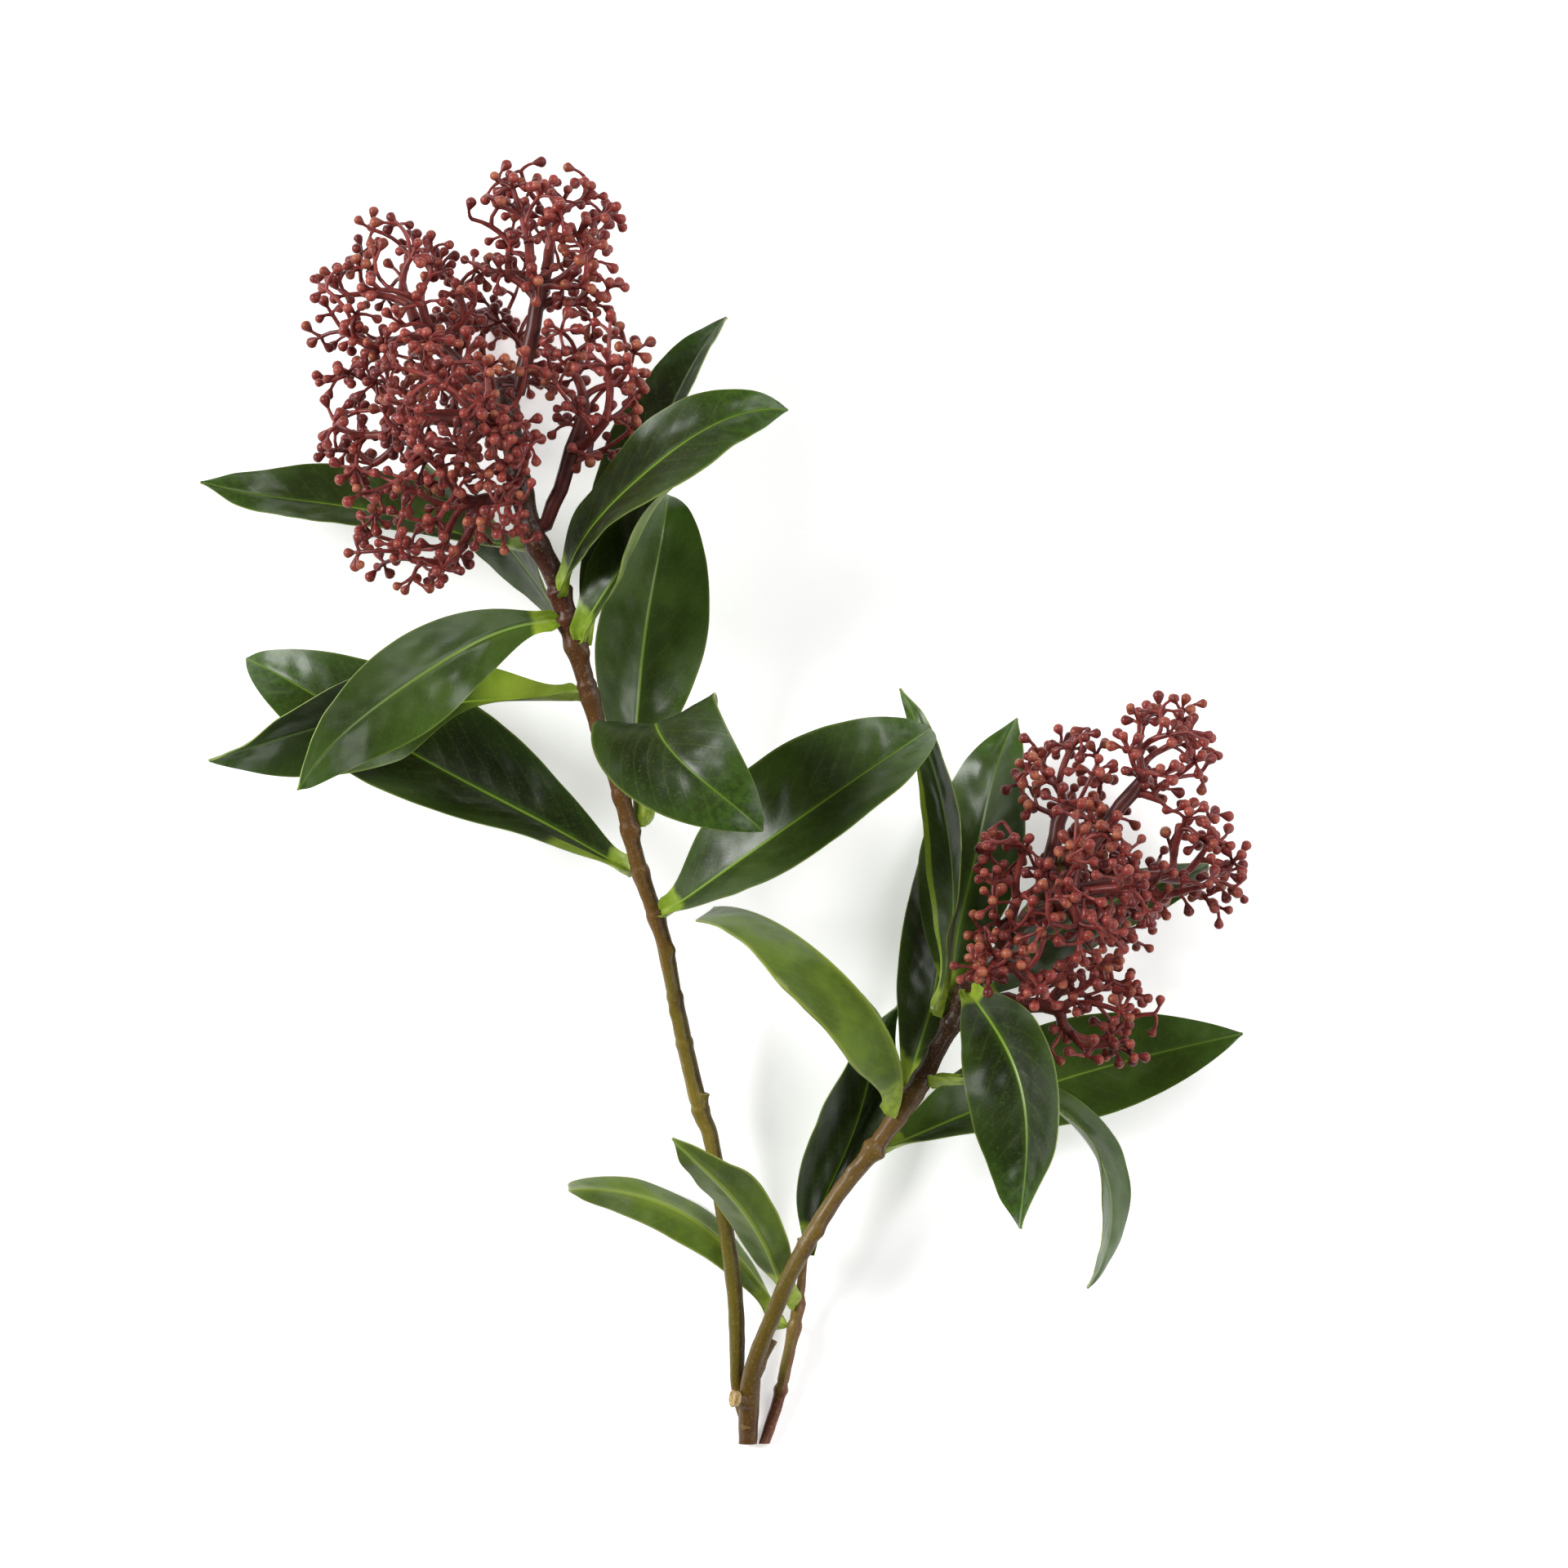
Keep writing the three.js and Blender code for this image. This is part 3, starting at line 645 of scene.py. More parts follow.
def leaf_upper_material(name, dark, light, specular=0.42, cuff=(8.5, 3.0), pale_edge=None):
    """The dark, glossy face of a leaf, fresher towards its edge and tip, with a pale cuff at its foot.

    cuff is the cuff's length and how softly it ends; pale_edge is how far up the leaf its left edge is
    pale, and how wide from the rib it sets in, both as shares.
    """
    material, tree, surface = new_material(name, 0.36, specular)
    at = blade_places(tree)
    veins = use(tree, leaf_veins, at.map, Rib_Width=0.45, Strip_Width=2.0)
    spots = use(tree, mottle, own_place(tree), Patch_Size=18.0, Speck_Size=0.8)
    fine = use(tree, mottle, own_place(tree), Patch_Size=2.2, Speck_Size=1.6)
    cloudiness = fade(tree, fine["Patches"], 0.0, 1.0, 0.35, 0.9)
    colour = paint(
        tree, blend(tree, spots["Patches"], dark, light),
        (fade(tree, at.edge, 0.5, 1.0), 0.35, (58, 84, 24)),
        (fade(tree, at.along, 0.68, 1.0), cloudiness, (62, 94, 24)),
        (fine["Specks"], 0.16, (76, 100, 36)),
        (spots["Specks"], 0.14, (92, 118, 44)),
        (veins["Veins"], 0.16, (72, 98, 30)),
        (veins["Strip"], 0.35, (72, 100, 24)),
        (veins["Rib"], fade(tree, at.along, 0.3, 1.0, 0.85, 0.4), (118, 148, 44)),
        (fade(tree, at.edge, 0.95, 1.0), 0.6, (110, 126, 52)),
    )
    pale = blend(tree, spots["Patches"], (112, 138, 34), (142, 164, 50))
    pale = paint(tree, pale, (fine["Specks"], 0.3, (160, 180, 70)))
    colour = blend(tree, cuff_share(tree, at, spots, *cuff), colour, pale)
    if pale_edge:
        reach, inner = pale_edge
        left = calc(tree, "LESS_THAN", at.across, 0.5)
        along = fade(tree, at.along, reach * 0.8, reach, 1.0, 0.0)
        outer = calc(tree, "MULTIPLY", left, fade(tree, at.edge, inner, inner + 0.1))
        colour = paint(tree, colour, (outer, along, pale))
    roughness = calc(tree, "MULTIPLY_ADD", spots["Patches"], 0.05, 0.3)
    tree.links.new(calc(tree, "MULTIPLY_ADD", fine["Specks"], 0.02, roughness), surface.inputs["Roughness"])
    finish(tree, surface, colour, veined(tree, veins, 0.55, 2.0), 0.35, 0.05)
    return material


def leaf_under_material(name, dark, light, streak):
    """The paler, duller underside of a leaf."""
    material, tree, surface = new_material(name, 0.42, 0.42)
    at = blade_places(tree)
    veins = use(tree, leaf_veins, at.map, Rib_Width=0.8, Strip_Width=3.2)
    spots = use(tree, mottle, own_place(tree), Patch_Size=16.0, Speck_Size=0.8)
    fine = use(tree, mottle, own_place(tree), Patch_Size=2.6, Speck_Size=1.4)
    colour = paint(
        tree, blend(tree, spots["Patches"], dark, light),
        (fade(tree, at.along, 0.45, 1.0), 0.5, dark),
        (fine["Specks"], 0.15, streak),
        (veins["Veins"], 0.1, streak),
        (veins["Strip"], 0.45, streak),
        (veins["Rib"], 0.5, (146, 166, 62)),
        (fade(tree, at.edge, 0.93, 1.0), 0.6, (154, 160, 60)),
    )
    pale = blend(tree, fine["Patches"], (122, 144, 40), (150, 170, 56))
    colour = blend(tree, cuff_share(tree, at, spots, 12.0), colour, pale)
    finish(tree, surface, colour, veined(tree, veins, 0.5, 1.5), 0.4, 0.06)
    return material


def leaf_edge_material():
    """The bare cut edge of a leaf."""
    material, tree, surface = new_material("leaf_edge", 0.45, 0.4)
    spots = use(tree, mottle, own_place(tree), Patch_Size=6.0)
    grain = use(tree, skin_grain, own_place(tree), Size=0.4)
    colour = blend(tree, spots["Patches"], (100, 122, 48), (146, 160, 84))
    finish(tree, surface, colour, grain["Height"], 0.3, 0.03)
    return material


def tint_along(tree, value, tints):
    """The colour at a value, between the colours of the places next to it."""
    first, last = tints[0][0], tints[-1][0]
    ramp = add(tree, "ShaderNodeValToRGB", {0: value})
    steps = ramp.color_ramp.elements
    while len(steps) < len(tints):
        steps.new(0.5)
    for step, (where, colour) in zip(steps, tints):
        step.position = (where - first) / (last - first)
        step.color = srgb(*colour)
    return ramp.outputs[0]


def bark_material(name, tints, shaded_redder_side, shade):
    """Moulded bark, tinted along the stem's Y, with painted shade on the side of the stem that faces away
    from the key light, partly the stem's own redder tone.
    """
    material, tree, surface = new_material(name, 0.42, 0.3)
    place = add(tree, "ShaderNodeAttribute", attribute_name="bark_place").outputs["Vector"]
    spots = use(tree, mottle, place, Patch_Size=8.0, Speck_Size=0.7, Streak_Size=0.9)
    y = add(tree, "ShaderNodeSeparateXYZ", {0: own_place(tree)}).outputs[1]
    foot, tip = [(tints[k][0] - ORIGIN.y) * MM for k in (0, -1)]
    along = add(tree, "ShaderNodeMapRange", {"Value": y, "From Min": foot, "From Max": tip}).outputs[0]
    wander = calc(tree, "MULTIPLY_ADD", calc(tree, "SUBTRACT", spots["Patches"], 0.5), 0.05, along)
    # Painted shade, partly the stem's own redder tone: the side that faces away from the key light turns
    # darker and redder.
    normal = add(tree, "ShaderNodeNewGeometry").outputs["Normal"]
    facing = add(tree, "ShaderNodeVectorMath", {0: normal, 1: shaded_redder_side}, operation="DOT_PRODUCT").outputs[1]
    side = fade(tree, calc(tree, "MULTIPLY_ADD", spots["Patches"], 0.5, facing), 0.0, 0.9)
    colour = paint(
        tree, tint_along(tree, wander, tints),
        (side, 0.75, shade), (spots["Streaks"], 0.22, (70, 48, 26)), (spots["Specks"], 0.3, (160, 134, 80)),
    )
    tree.links.new(calc(tree, "MULTIPLY_ADD", spots["Streaks"], 0.12, 0.32), surface.inputs["Roughness"])
    grain = use(tree, skin_grain, place, Size=0.5, Unevenness=2.5)
    height = calc(tree, "MULTIPLY_ADD", spots["Streaks"], 0.8, grain["Height"])
    finish(tree, surface, colour, height, 0.45, 0.08)
    return material


def cut_material():
    """The pale face of a cut or a scar."""
    material, tree, surface = new_material("stem_cut", 0.6, 0.3)
    spots = use(tree, mottle, own_place(tree), Patch_Size=1.6, Speck_Size=0.5)
    grain = use(tree, skin_grain, own_place(tree), Size=0.45, Unevenness=2.0)
    colour = blend(tree, spots["Patches"], (150, 116, 62), (190, 170, 118))
    colour = paint(tree, colour, (spots["Specks"], 0.6, (110, 70, 40)))
    finish(tree, surface, colour, grain["Height"], 0.7, 0.15)
    return material


def moulded_material(name, dark, light, roughness, crown=None):
    """Soft moulded plastic with a satin skin, for stalks, and for buds with a neck and a paler crown.

    Stalks, which have no crown, are darker the thicker they are: painted shade deep inside the heads, where
    the thick stalks stand.
    """
    material, tree, surface = new_material(name, roughness, 0.36)
    spots = use(tree, mottle, own_place(tree), Patch_Size=5.0, Speck_Size=0.9)
    colour = paint(tree, blend(tree, spots["Patches"], dark, light), (spots["Specks"], 0.3, (160, 84, 74)))
    mark = add(tree, "ShaderNodeAttribute", attribute_name="crown" if crown else "girth").outputs["Fac"]
    if crown:
        neck = fade(tree, mark, -0.9, 0.1, 1.0, 0.0)
        top = fade(tree, calc(tree, "MULTIPLY_ADD", spots["Specks"], 0.3, mark), 0.35, 1.2)
        colour = paint(tree, colour, (neck, 0.7, (96, 36, 34)), (top, 0.55, crown))
    else:
        # Painted shade: the thick stalks deep inside a head turn dark.
        thick = fade(tree, mark, 0.9 * MM, THICKEST_STALK * MM)
        colour = paint(tree, colour, (thick, 0.8, (62, 25, 21)))
    grain = use(tree, skin_grain, own_place(tree), Size=0.5, Unevenness=1.0)
    finish(tree, surface, colour, grain["Height"], 0.4, 0.05)
    return material


# The dark faces and the light face are darker and lighter copies of the plain leaf face: painted shade and
# painted sheen.
plain_greens = ((38, 52, 14), (52, 70, 20))
shaded_greens = ((26, 36, 8), (36, 49, 12))
leaf_faces = {
    "plain": leaf_upper_material("leaf_upper", *plain_greens),
    "dark": leaf_upper_material("leaf_upper_painted_shade", *shaded_greens, 0.34),
    "light": leaf_upper_material("leaf_upper_painted_sheen", (46, 64, 16), (62, 84, 24)),
    "pale_footed": leaf_upper_material("leaf_upper_pale_footed", *plain_greens, cuff=(24.0, 14.0)),
    "pale_edged": leaf_upper_material("leaf_upper_pale_edged", *plain_greens, pale_edge=(0.85, 0.74)),
    "pale_heeled": leaf_upper_material("leaf_upper_pale_heeled", *shaded_greens, 0.34, pale_edge=(0.2, 0.35)),
}
leaf_under = leaf_under_material("leaf_under", (66, 84, 26), (86, 106, 34), (104, 124, 44))
fresh_under = leaf_under_material("leaf_under_fresh", (76, 98, 22), (98, 122, 30), (126, 146, 46))
leaf_edge = leaf_edge_material()
stem_cut = cut_material()
# Tints of bark by their place along Y, the side that gets painted shade (partly the stem's own redder tone)
# and the colour it turns to.
BARK_TINTS = {
    "trunk": (
        [(-194, (88, 56, 24)), (-172, (88, 68, 20)), (-150, (96, 82, 26)), (-125, (110, 88, 38)),
         (-96, (100, 74, 36)), (-82, (52, 32, 18)), (-52, (46, 24, 16)), (-34, (78, 64, 28)),
         (-12, (86, 82, 34))],
        (0.8, 0.25, -0.2), (70, 40, 26),
    ),
    "left_stem": (
        [(-192, (102, 76, 28)), (-168, (98, 86, 24)), (-120, (98, 90, 26)), (-96, (126, 110, 40)),
         (-60, (106, 92, 30)), (-34, (104, 76, 30)), (0, (94, 62, 28)), (34, (84, 54, 26)),
         (58, (76, 36, 24)), (76, (48, 20, 18)), (122, (62, 26, 24))],
        (0.9, 0.0, -0.3), (54, 34, 18),
    ),
    "side_twig": (
        [(-194, (100, 58, 40)), (-180, (90, 48, 32)), (-172, (112, 100, 42)), (-150, (120, 96, 48)),
         (-130, (96, 66, 40))],
        (0.8, 0.2, -0.1), (110, 62, 42),
    ),
}
BARKS = {name: bark_material(name + "_bark", *tints) for name, tints in BARK_TINTS.items()}
stalk_skin = moulded_material("stalk_skin", (98, 35, 31), (138, 55, 48), 0.4)
BUD_SKINS = [
    moulded_material("bud_brick", (112, 38, 33), (138, 52, 44), 0.34, (166, 86, 66)),
    moulded_material("bud_rose", (120, 44, 40), (146, 61, 52), 0.34, (176, 98, 78)),
    moulded_material("bud_tan", (120, 50, 37), (146, 68, 50), 0.36, (186, 120, 80)),
    moulded_material("bud_dark", (88, 29, 27), (114, 40, 36), 0.34, (140, 64, 53)),
]

# ---- Stems ----

def bark_bumps(name):
    """The swellings, creases, rings and scars of one stem, with places along its Y."""
    nodes = [row[2] for row in LEAVES + SPRIGS if row[1] == name]
    rings = [(y, height) for stem, y, height in RINGS if stem == name]
    scars = [(y, heading, height) for stem, y, heading, height in SCARS if stem == name]
    return nodes, rings, scars


def bark_radius(base, place, outward, grain, bumps):
    """How far the bark is from the centre line; grain is the same place on a straight stem."""
    nodes, rings, scars = bumps
    y = place.y
    radius = base
    for node in nodes:
        radius += NODE_SWELL * bell(y - node, NODE_LENGTH)
        radius -= CREASE_DEPTH * bell(y - node - CREASE_PLACE, CREASE_LENGTH)
    for ring, height in rings:
        groove = 0.5 * height * bell(y - ring - GROOVE_PLACE, GROOVE_LENGTH)
        radius += height * bell(y - ring, RING_LENGTH) - groove
    for scar, heading, height in scars:
        turn = math.degrees(outward.angle(headed(heading, SCAR_RISE)))
        radius += height * bell(y - scar, SCAR_LENGTH) * bell(turn, SCAR_SPAN)
    ridges = noise.noise(Vector((grain.x * 0.9, grain.y * 0.9, grain.z * 0.09)))
    lumps = noise.noise(grain * 0.25)
    return radius + BARK_RELIEF * (ridges + 1.2 * lumps)


def tube(rings):
    """Vertices, faces and cap faces of a closed tube over rings of points."""
    count = len(rings[0])
    vertices = [point for ring in rings for point in ring]
    faces = ring_faces(0, count, len(rings))
    last = (len(rings) - 1) * count
    caps = [tuple(range(count - 1, -1, -1)), tuple(range(last, last + count))]
    return vertices, faces, caps


def stem_rings(name):
    """Rings of points on a stem's bark, and the same points on a straight stem, which its grain follows."""
    path = ROOTS.get(name, []) + STEMS[name]
    bumps = bark_bumps(name)
    samples = []
    for i in range(len(path) - 1):
        span = (path_at(path, i).place - path_at(path, i + 1).place).length
        steps = max(1, round(span / BARK_STEP))
        samples += [path_at(path, i + k / steps) for k in range(steps)]
    samples.append(path_at(path, len(path) - 1))
    frames = turned_frames([at.place for at in samples])
    rings = []
    grains = []
    along = 0
    for i, (at, (_, across, second)) in enumerate(zip(samples, frames)):
        along += (at.place - samples[max(i - 1, 0)].place).length
        upright = 0 if name in ROOTS else 1 - smooth(0, FOOT_LENGTH, along)
        for k in range(BARK_SIDES):
            turn = 2 * math.pi * k / BARK_SIDES
            outward = swung(across, second, turn)
            grain = Vector((at.radius * math.cos(turn), at.radius * math.sin(turn), along))
            point = at.place + outward * bark_radius(at.radius, at.place, outward, grain, bumps)
            point.y = mix(point.y, at.place.y, upright)
            point.z = max(point.z, ORIGIN.z)
            rings.append(point)
            grains.append(grain)
    return [rings[k:k + BARK_SIDES] for k in range(0, len(rings), BARK_SIDES)], grains


def shoot_rings(row):
    """A short side shoot that flares at its root and ends in a dished cut."""
    stem, y, heading, rise, length, radius = row
    root = stem_at_y(STEMS[stem], y).place
    forward = headed(heading, rise)
    across = UP.cross(forward).normalized()
    second = forward.cross(across)
    rings = []
    for share, girth in SHOOT_PROFILE:
        ring = []
        for k in range(BARK_SIDES // 2):
            turn = 4 * math.pi * k / BARK_SIDES
            outward = swung(across, second, turn)
            slant = 0.22 * radius * math.sin(turn) * smooth(0.5, 1, share)
            wobble = 1 + 0.1 * noise.noise(outward * 1.7 + forward * (6 * share + y))
            ring.append(root + forward * (length * share + slant) + outward * radius * girth * wobble)
        rings.append(ring)
    return rings


def make_stem(name):
    """One closed skin of bark, with its side shoots sunk into it."""
    rings, grains = stem_rings(name)
    vertices, faces, caps = tube(rings)
    indices = [0] * len(faces) + [1] * len(caps)
    faces = faces + caps
    for row, bare_rings in zip(NUBS, BARE_RINGS):
        if row[0] != name:
            continue
        more, sides, ends = tube(shoot_rings(row))
        shift = len(vertices)
        bare = bare_rings * (BARK_SIDES // 2)
        indices += [0] * (len(sides) - bare) + [1] * bare + [0, 1]
        faces += [tuple(corner + shift for corner in face) for face in sides + ends]
        vertices += more
        grains += [point - more[0] for point in more]
    piece = mesh_object(name + "_skin", vertices, faces, [BARKS[name], stem_cut], indices)
    places = [value * MM for grain in grains for value in grain]
    piece.data.attributes.new("bark_place", "FLOAT_VECTOR", "POINT").data.foreach_set("vector", places)
    settle(piece, name)


# ---- Leaves ----

def rib_turns(leaf, u):
    """Heading and rise of a leaf's rib at u, which runs from foot to tip."""
    heading = leaf.heading + leaf.bow * u + leaf.sway * math.sin(2 * math.pi * u)
    late = max(0, (u - CURL_START) / (1 - CURL_START))
    return heading, leaf.rise + leaf.arch * u + leaf.curl * late**2


def leaf_from_row(row):
    keys = "name stem y heading rise bow arch length half fold roll twist curl sway".split()
    leaf = SimpleNamespace(**dict(zip(keys, row)))
    leaf.number = LEAVES.index(row)
    leaf.rib = [seat(leaf.stem, leaf.y, headed(leaf.heading, leaf.rise), PETIOLE_HALF)]
    for i in range(RIB_STEPS):
        step = headed(*rib_turns(leaf, (i + 0.5) / RIB_STEPS)) * (leaf.length / RIB_STEPS)
        leaf.rib.append(leaf.rib[i] + step)
    return leaf


def blade_half(leaf, u):
    tip_power = FOOT_POWER * (1 / WIDEST - 1)
    shape = (u / WIDEST) ** FOOT_POWER * ((1 - u) / (1 - WIDEST)) ** tip_power
    return math.hypot(leaf.half * shape, TIP_HALF + (PETIOLE_HALF - TIP_HALF) * (1 - u) ** 2)


def blade_frame(leaf, u):
    """Place on the rib, the direction to the blade's right edge and the one off its upper face."""
    k = min(u * RIB_STEPS, RIB_STEPS - 1e-6)
    i = math.floor(k)
    place = leaf.rib[i].lerp(leaf.rib[i + 1], k - i)
    heading, rise = rib_turns(leaf, u)
    direction = headed(heading, rise)
    turn = math.radians(heading)
    level = Vector((math.sin(turn), -math.cos(turn), 0))
    above = level.cross(direction)
    roll = math.radians(leaf.roll + leaf.twist * u)
    side = swung(level, above, roll)
    return place, side, side.cross(direction)


def blade_point(leaf, u, v):
    """A point in the middle of the blade: u runs from foot to tip, v from the left edge to the right."""
    place, side, normal = blade_frame(leaf, u)
    half = blade_half(leaf, u)
    return place + side * (half * v) + normal * (half * leaf.fold * abs(v) ** FOLD_POWER)


def blade_relief(leaf, u, v, half):
    """Height of a blade's waves and quilting over its plain curved sheet."""
    hold = smooth(0.06, 0.3, u) * (1 - smooth(0.9, 1, u))
    way = 1 if v > 0 else -1
    seed = 7.3 * leaf.number + 31 * way
    long_wave = noise.noise(Vector((u * 2.6, seed, 0.5)))
    short_wave = noise.noise(Vector((u * 6.5, seed, 4.5)))
    wave = WAVE_HEIGHT * abs(v) ** 1.4 * (1.5 * long_wave + 0.7 * short_wave)
    across = abs(v) * half
    row = (u * leaf.length - VEIN_SLANT * across) / VEIN_SPACING
    quilt = QUILT_HEIGHT * math.cos(2 * math.pi * row) * smooth(0, 0.25, abs(v))
    quilt *= 1 - smooth(0.6, 1, abs(v))
    dents = DENT_HEIGHT * noise.noise(Vector((u * leaf.length * 0.055, v * half * 0.09, seed * 0.1)))
    ripples = RIPPLE_HEIGHT * noise.noise(Vector((u * leaf.length * 0.14, v * half * 0.2, seed * 0.3)))
    return hold * (wave + quilt + (dents + ripples) * smooth(0.05, 0.5, abs(v)))


def half_share(leaf, u, v):
    """Width of the half that v lies on, as a share of the plain rule's."""
    side, share, reach = NARROWED.get(leaf.name, (0, 1, 1))
    return mix(share, 1, smooth(reach - 0.25, reach, u)) if side * v > 0 else 1


def column_place(k):
    """Where a column of a blade's grid lies, from -1 at the left edge to 1; columns crowd at the rib."""
    t = 2 * k / BLADE_COLUMNS - 1
    return (1 - CROWDING) * t + CROWDING * t**3


def leaf_ring(leaf, u):
    """A closed ring of points round the blade at one station: over it, then back under it."""
    place, side, normal = blade_frame(leaf, u)
    distance = u * leaf.length
    foot = bell(distance, CUFF_LENGTH)
    half = math.hypot(blade_half(leaf, u), CUFF_HALF * foot * smooth(-2, 3, distance))
    forward = normal.cross(side)
    over = []
    under = []
    for k in range(BLADE_COLUMNS + 1):
        v = column_place(k)
        sheet = half * leaf.fold * abs(v) ** FOLD_POWER + blade_relief(leaf, u, v, half)
        flat = mix(BLADE_THICKNESS, EDGE_THICKNESS, smooth(0.7, 1, abs(v)))
        round_foot = EDGE_THICKNESS + CUFF_THICKNESS * math.sqrt(max(0, 1 - v * v))
        lift = mix(flat, round_foot, foot) / 2
        rib = bell(v * half, RIB_SPREAD) * (1 - foot) * mix(1, 0.4, u)
        sheet += CUFF_FOLD * foot * v * v
        wrinkle = CUFF_WRINKLE * bell(distance, 4)
        wrinkle *= noise.noise(Vector((v * 2.6, leaf.number, distance * 0.4)))
        middle = place + side * (half * v * half_share(leaf, u, v)) + forward * wrinkle + normal * wrinkle
        over.append(middle + normal * (sheet + lift - RIB_GROOVE * rib))
        under.append(middle + normal * (sheet - lift - RIB_RIDGE * rib))
    return over + under[::-1]


def make_leaf(leaf):
    """A leaf with its own upper face, underside and cut edge."""
    count = 2 * (BLADE_COLUMNS + 1)
    even = [i / BLADE_STATIONS for i in range(BLADE_STATIONS + 1)]
    stations = [mix(u, smooth(0, 1, u), CROWDING) for u in even]
    rings = [leaf_ring(leaf, u) for u in stations]
    heart = stem_at_y(STEMS[leaf.stem], leaf.y).place
    rings.insert(0, [point.lerp(heart, FOOT_SINK) for point in rings[0]])
    stations.insert(0, 0)
    vertices, faces, _ = tube(rings)
    sections = len(rings) - 1
    indices = ([0] * BLADE_COLUMNS + [2] + [1] * BLADE_COLUMNS + [2]) * sections
    for start, turned in ((0, True), (sections * count, False)):
        for k in range(BLADE_COLUMNS):
            a, b = start + k, start + k + 1
            c, d = start + count - 2 - k, start + count - 1 - k
            faces.append((d, c, b, a) if turned else (a, b, c, d))
            indices.append(2)
    face = next((face for face, names in FACES.items() if leaf.name in names), "plain")
    skins = [leaf_faces[face], fresh_under if leaf.name in FRESH_LEAVES else leaf_under, leaf_edge]
    piece = mesh_object(leaf.name + "_blade", vertices, faces, skins, indices)
    millimetres = piece.data.uv_layers.new(name="blade_mm")
    shares = piece.data.uv_layers.new(name="blade_share")
    for loop in piece.data.loops:
        station, k = divmod(loop.vertex_index, count)
        v = column_place(min(k, count - 1 - k))
        u = stations[station]
        across = 0.5 + v * blade_half(leaf, u) / UV_UNIT
        millimetres.data[loop.index].uv = (u * leaf.length / UV_UNIT, across)
        shares.data[loop.index].uv = (u, abs(v))
    settle(piece, leaf.name)


# ---- Sprigs of buds ----

def sprig_from_row(row):
    name, stem, y, centre, sizes = row
    sprig = SimpleNamespace(name=name, number=SPRIGS.index(row), centre=Vector(centre), sizes=Vector(sizes))
    sprig.root = stem_at_y(STEMS[stem], y).place
    start = seat(stem, y, (sprig.centre - sprig.root).normalized(), SOLID_AXIS_RADIUS)
    hub = start.lerp(sprig.centre, AXIS_SHARE)
    sprig.axis = [start.lerp(hub, i / (AXIS_POINTS - 1)) for i in range(AXIS_POINTS)]
    return sprig


def depth(sprig, point):
    """Scaled distance of a point from a sprig's centre: 1 on the skin of its space."""
    off = point - sprig.centre
    return math.hypot(off.x / sprig.sizes.x, off.y / sprig.sizes.y, off.z / sprig.sizes.z)


def closest_on(point, a, b):
    """The point between a and b that lies nearest to a point."""
    _, share = intersect_point_line(point, a, b)
    return a.lerp(b, min(max(share, 0), 1))


def distance_to_line(point, places):
    return min((closest_on(point, a, b) - point).length for a, b in zip(places, places[1:]))


leaves = [leaf_from_row(row) for row in LEAVES]
sprigs = [sprig_from_row(row) for row in SPRIGS]
stem_lines = []
for path in STEMS.values():
    stem_lines.append([path_at(path, i / 4).place for i in range(4 * (len(path) - 1) + 1)])
leaf_points = [blade_point(leaf, i / 36, k / 4) for leaf in leaves for i in range(37) for k in range(-4, 5)]
leaf_tree = KDTree(len(leaf_points))
for i, point in enumerate(leaf_points):
    leaf_tree.insert(point, i)
leaf_tree.balance()


def is_clear(sprig, point, radius, reach=1.001, ease=SPACE_EASE, leaf_clear=LEAF_CLEAR):
    """A point keeps to its sprig's own space, off the stems, the leaves and the axes of other sprigs."""
    own = depth(sprig, point)
    if own > reach:
        return False
    others = [other for other in sprigs if other is not sprig]
    if any(depth(other, point) < own + ease for other in others):
        return False
    if any(distance_to_line(point, other.axis) < radius + SOLID_AXIS_RADIUS + GAP for other in others):
        return False
    if any(distance_to_line(point, line) < radius + WIDEST_STEM + GAP for line in stem_lines):
        return False
    return leaf_tree.find(point)[2] > radius + leaf_clear


def spread(k, count, phase):
    """The k-th of a number of directions that are spread evenly over a ball and turned by a phase."""
    height = 1 - (2 * k + 1) / count
    turn = GOLDEN_ANGLE * k + phase
    level = math.sqrt(1 - height * height)
    return Vector((level * math.cos(turn), level * math.sin(turn), height))


def scaled(direction, sprig, share):
    """A direction stretched to a share of the sprig's space."""
    return sprig.centre + Vector(a * b * share for a, b in zip(direction, sprig.sizes))


def forks_of(sprig):
    """The forks of a sprig leave its axis in turn and reach into all parts of its space."""
    rand = random_source(100 * sprig.number + 7)
    phase = 2 * math.pi * rand()
    tip = sprig.axis[-1]
    entry = next((place for place in sprig.axis if depth(sprig, place) < FORK_DEPTH), tip)
    forks = []
    for k in range(FORKS):
        root = tip.lerp(entry, FORK_STRETCH * rand())
        aim = scaled(spread(k, FORKS, phase), sprig, FORK_REACH)
        if all(is_clear(sprig, place, SOLID_FORK_RADIUS) for place in (aim, root.lerp(aim, 0.5))):
            forks.append((root, aim))
    return forks


def even_places(sprig, seed):
    """Places that fill a sprig's space evenly, from its heart to near its skin."""
    rand = random_source(100 * sprig.number + seed)
    phase = 2 * math.pi * rand()
    volume = 4 / 3 * math.pi * sprig.sizes.x * sprig.sizes.y * sprig.sizes.z
    count = round(BUDS_PER_CM3 * volume / 1000)
    for k in range(count):
        shell = (HOLLOW_SHARE + FILLED_SHARE * rand()) ** (1 / 3)
        yield scaled(spread(k, count, phase), sprig, shell)


def hearts_of(sprig, forks):
    """Where the large buds of the solids stand, each near enough to a fork to be carried by it."""
    hearts = []
    for heart in even_places(sprig, 8):
        if not is_clear(sprig, heart, SOLID_BUD_RADIUS):
            continue
        if any((other - heart).length < 2 * SOLID_BUD_RADIUS for other in hearts):
            continue
        feet = [closest_on(heart, *(root.lerp(end, share) for share in STALK_FEET)) for root, end in forks]
        reach = min((foot - heart).length for foot in feet)
        if STALK_LENGTHS[0] < reach < STALK_LENGTHS[1]:
            hearts.append(heart)
    return hearts


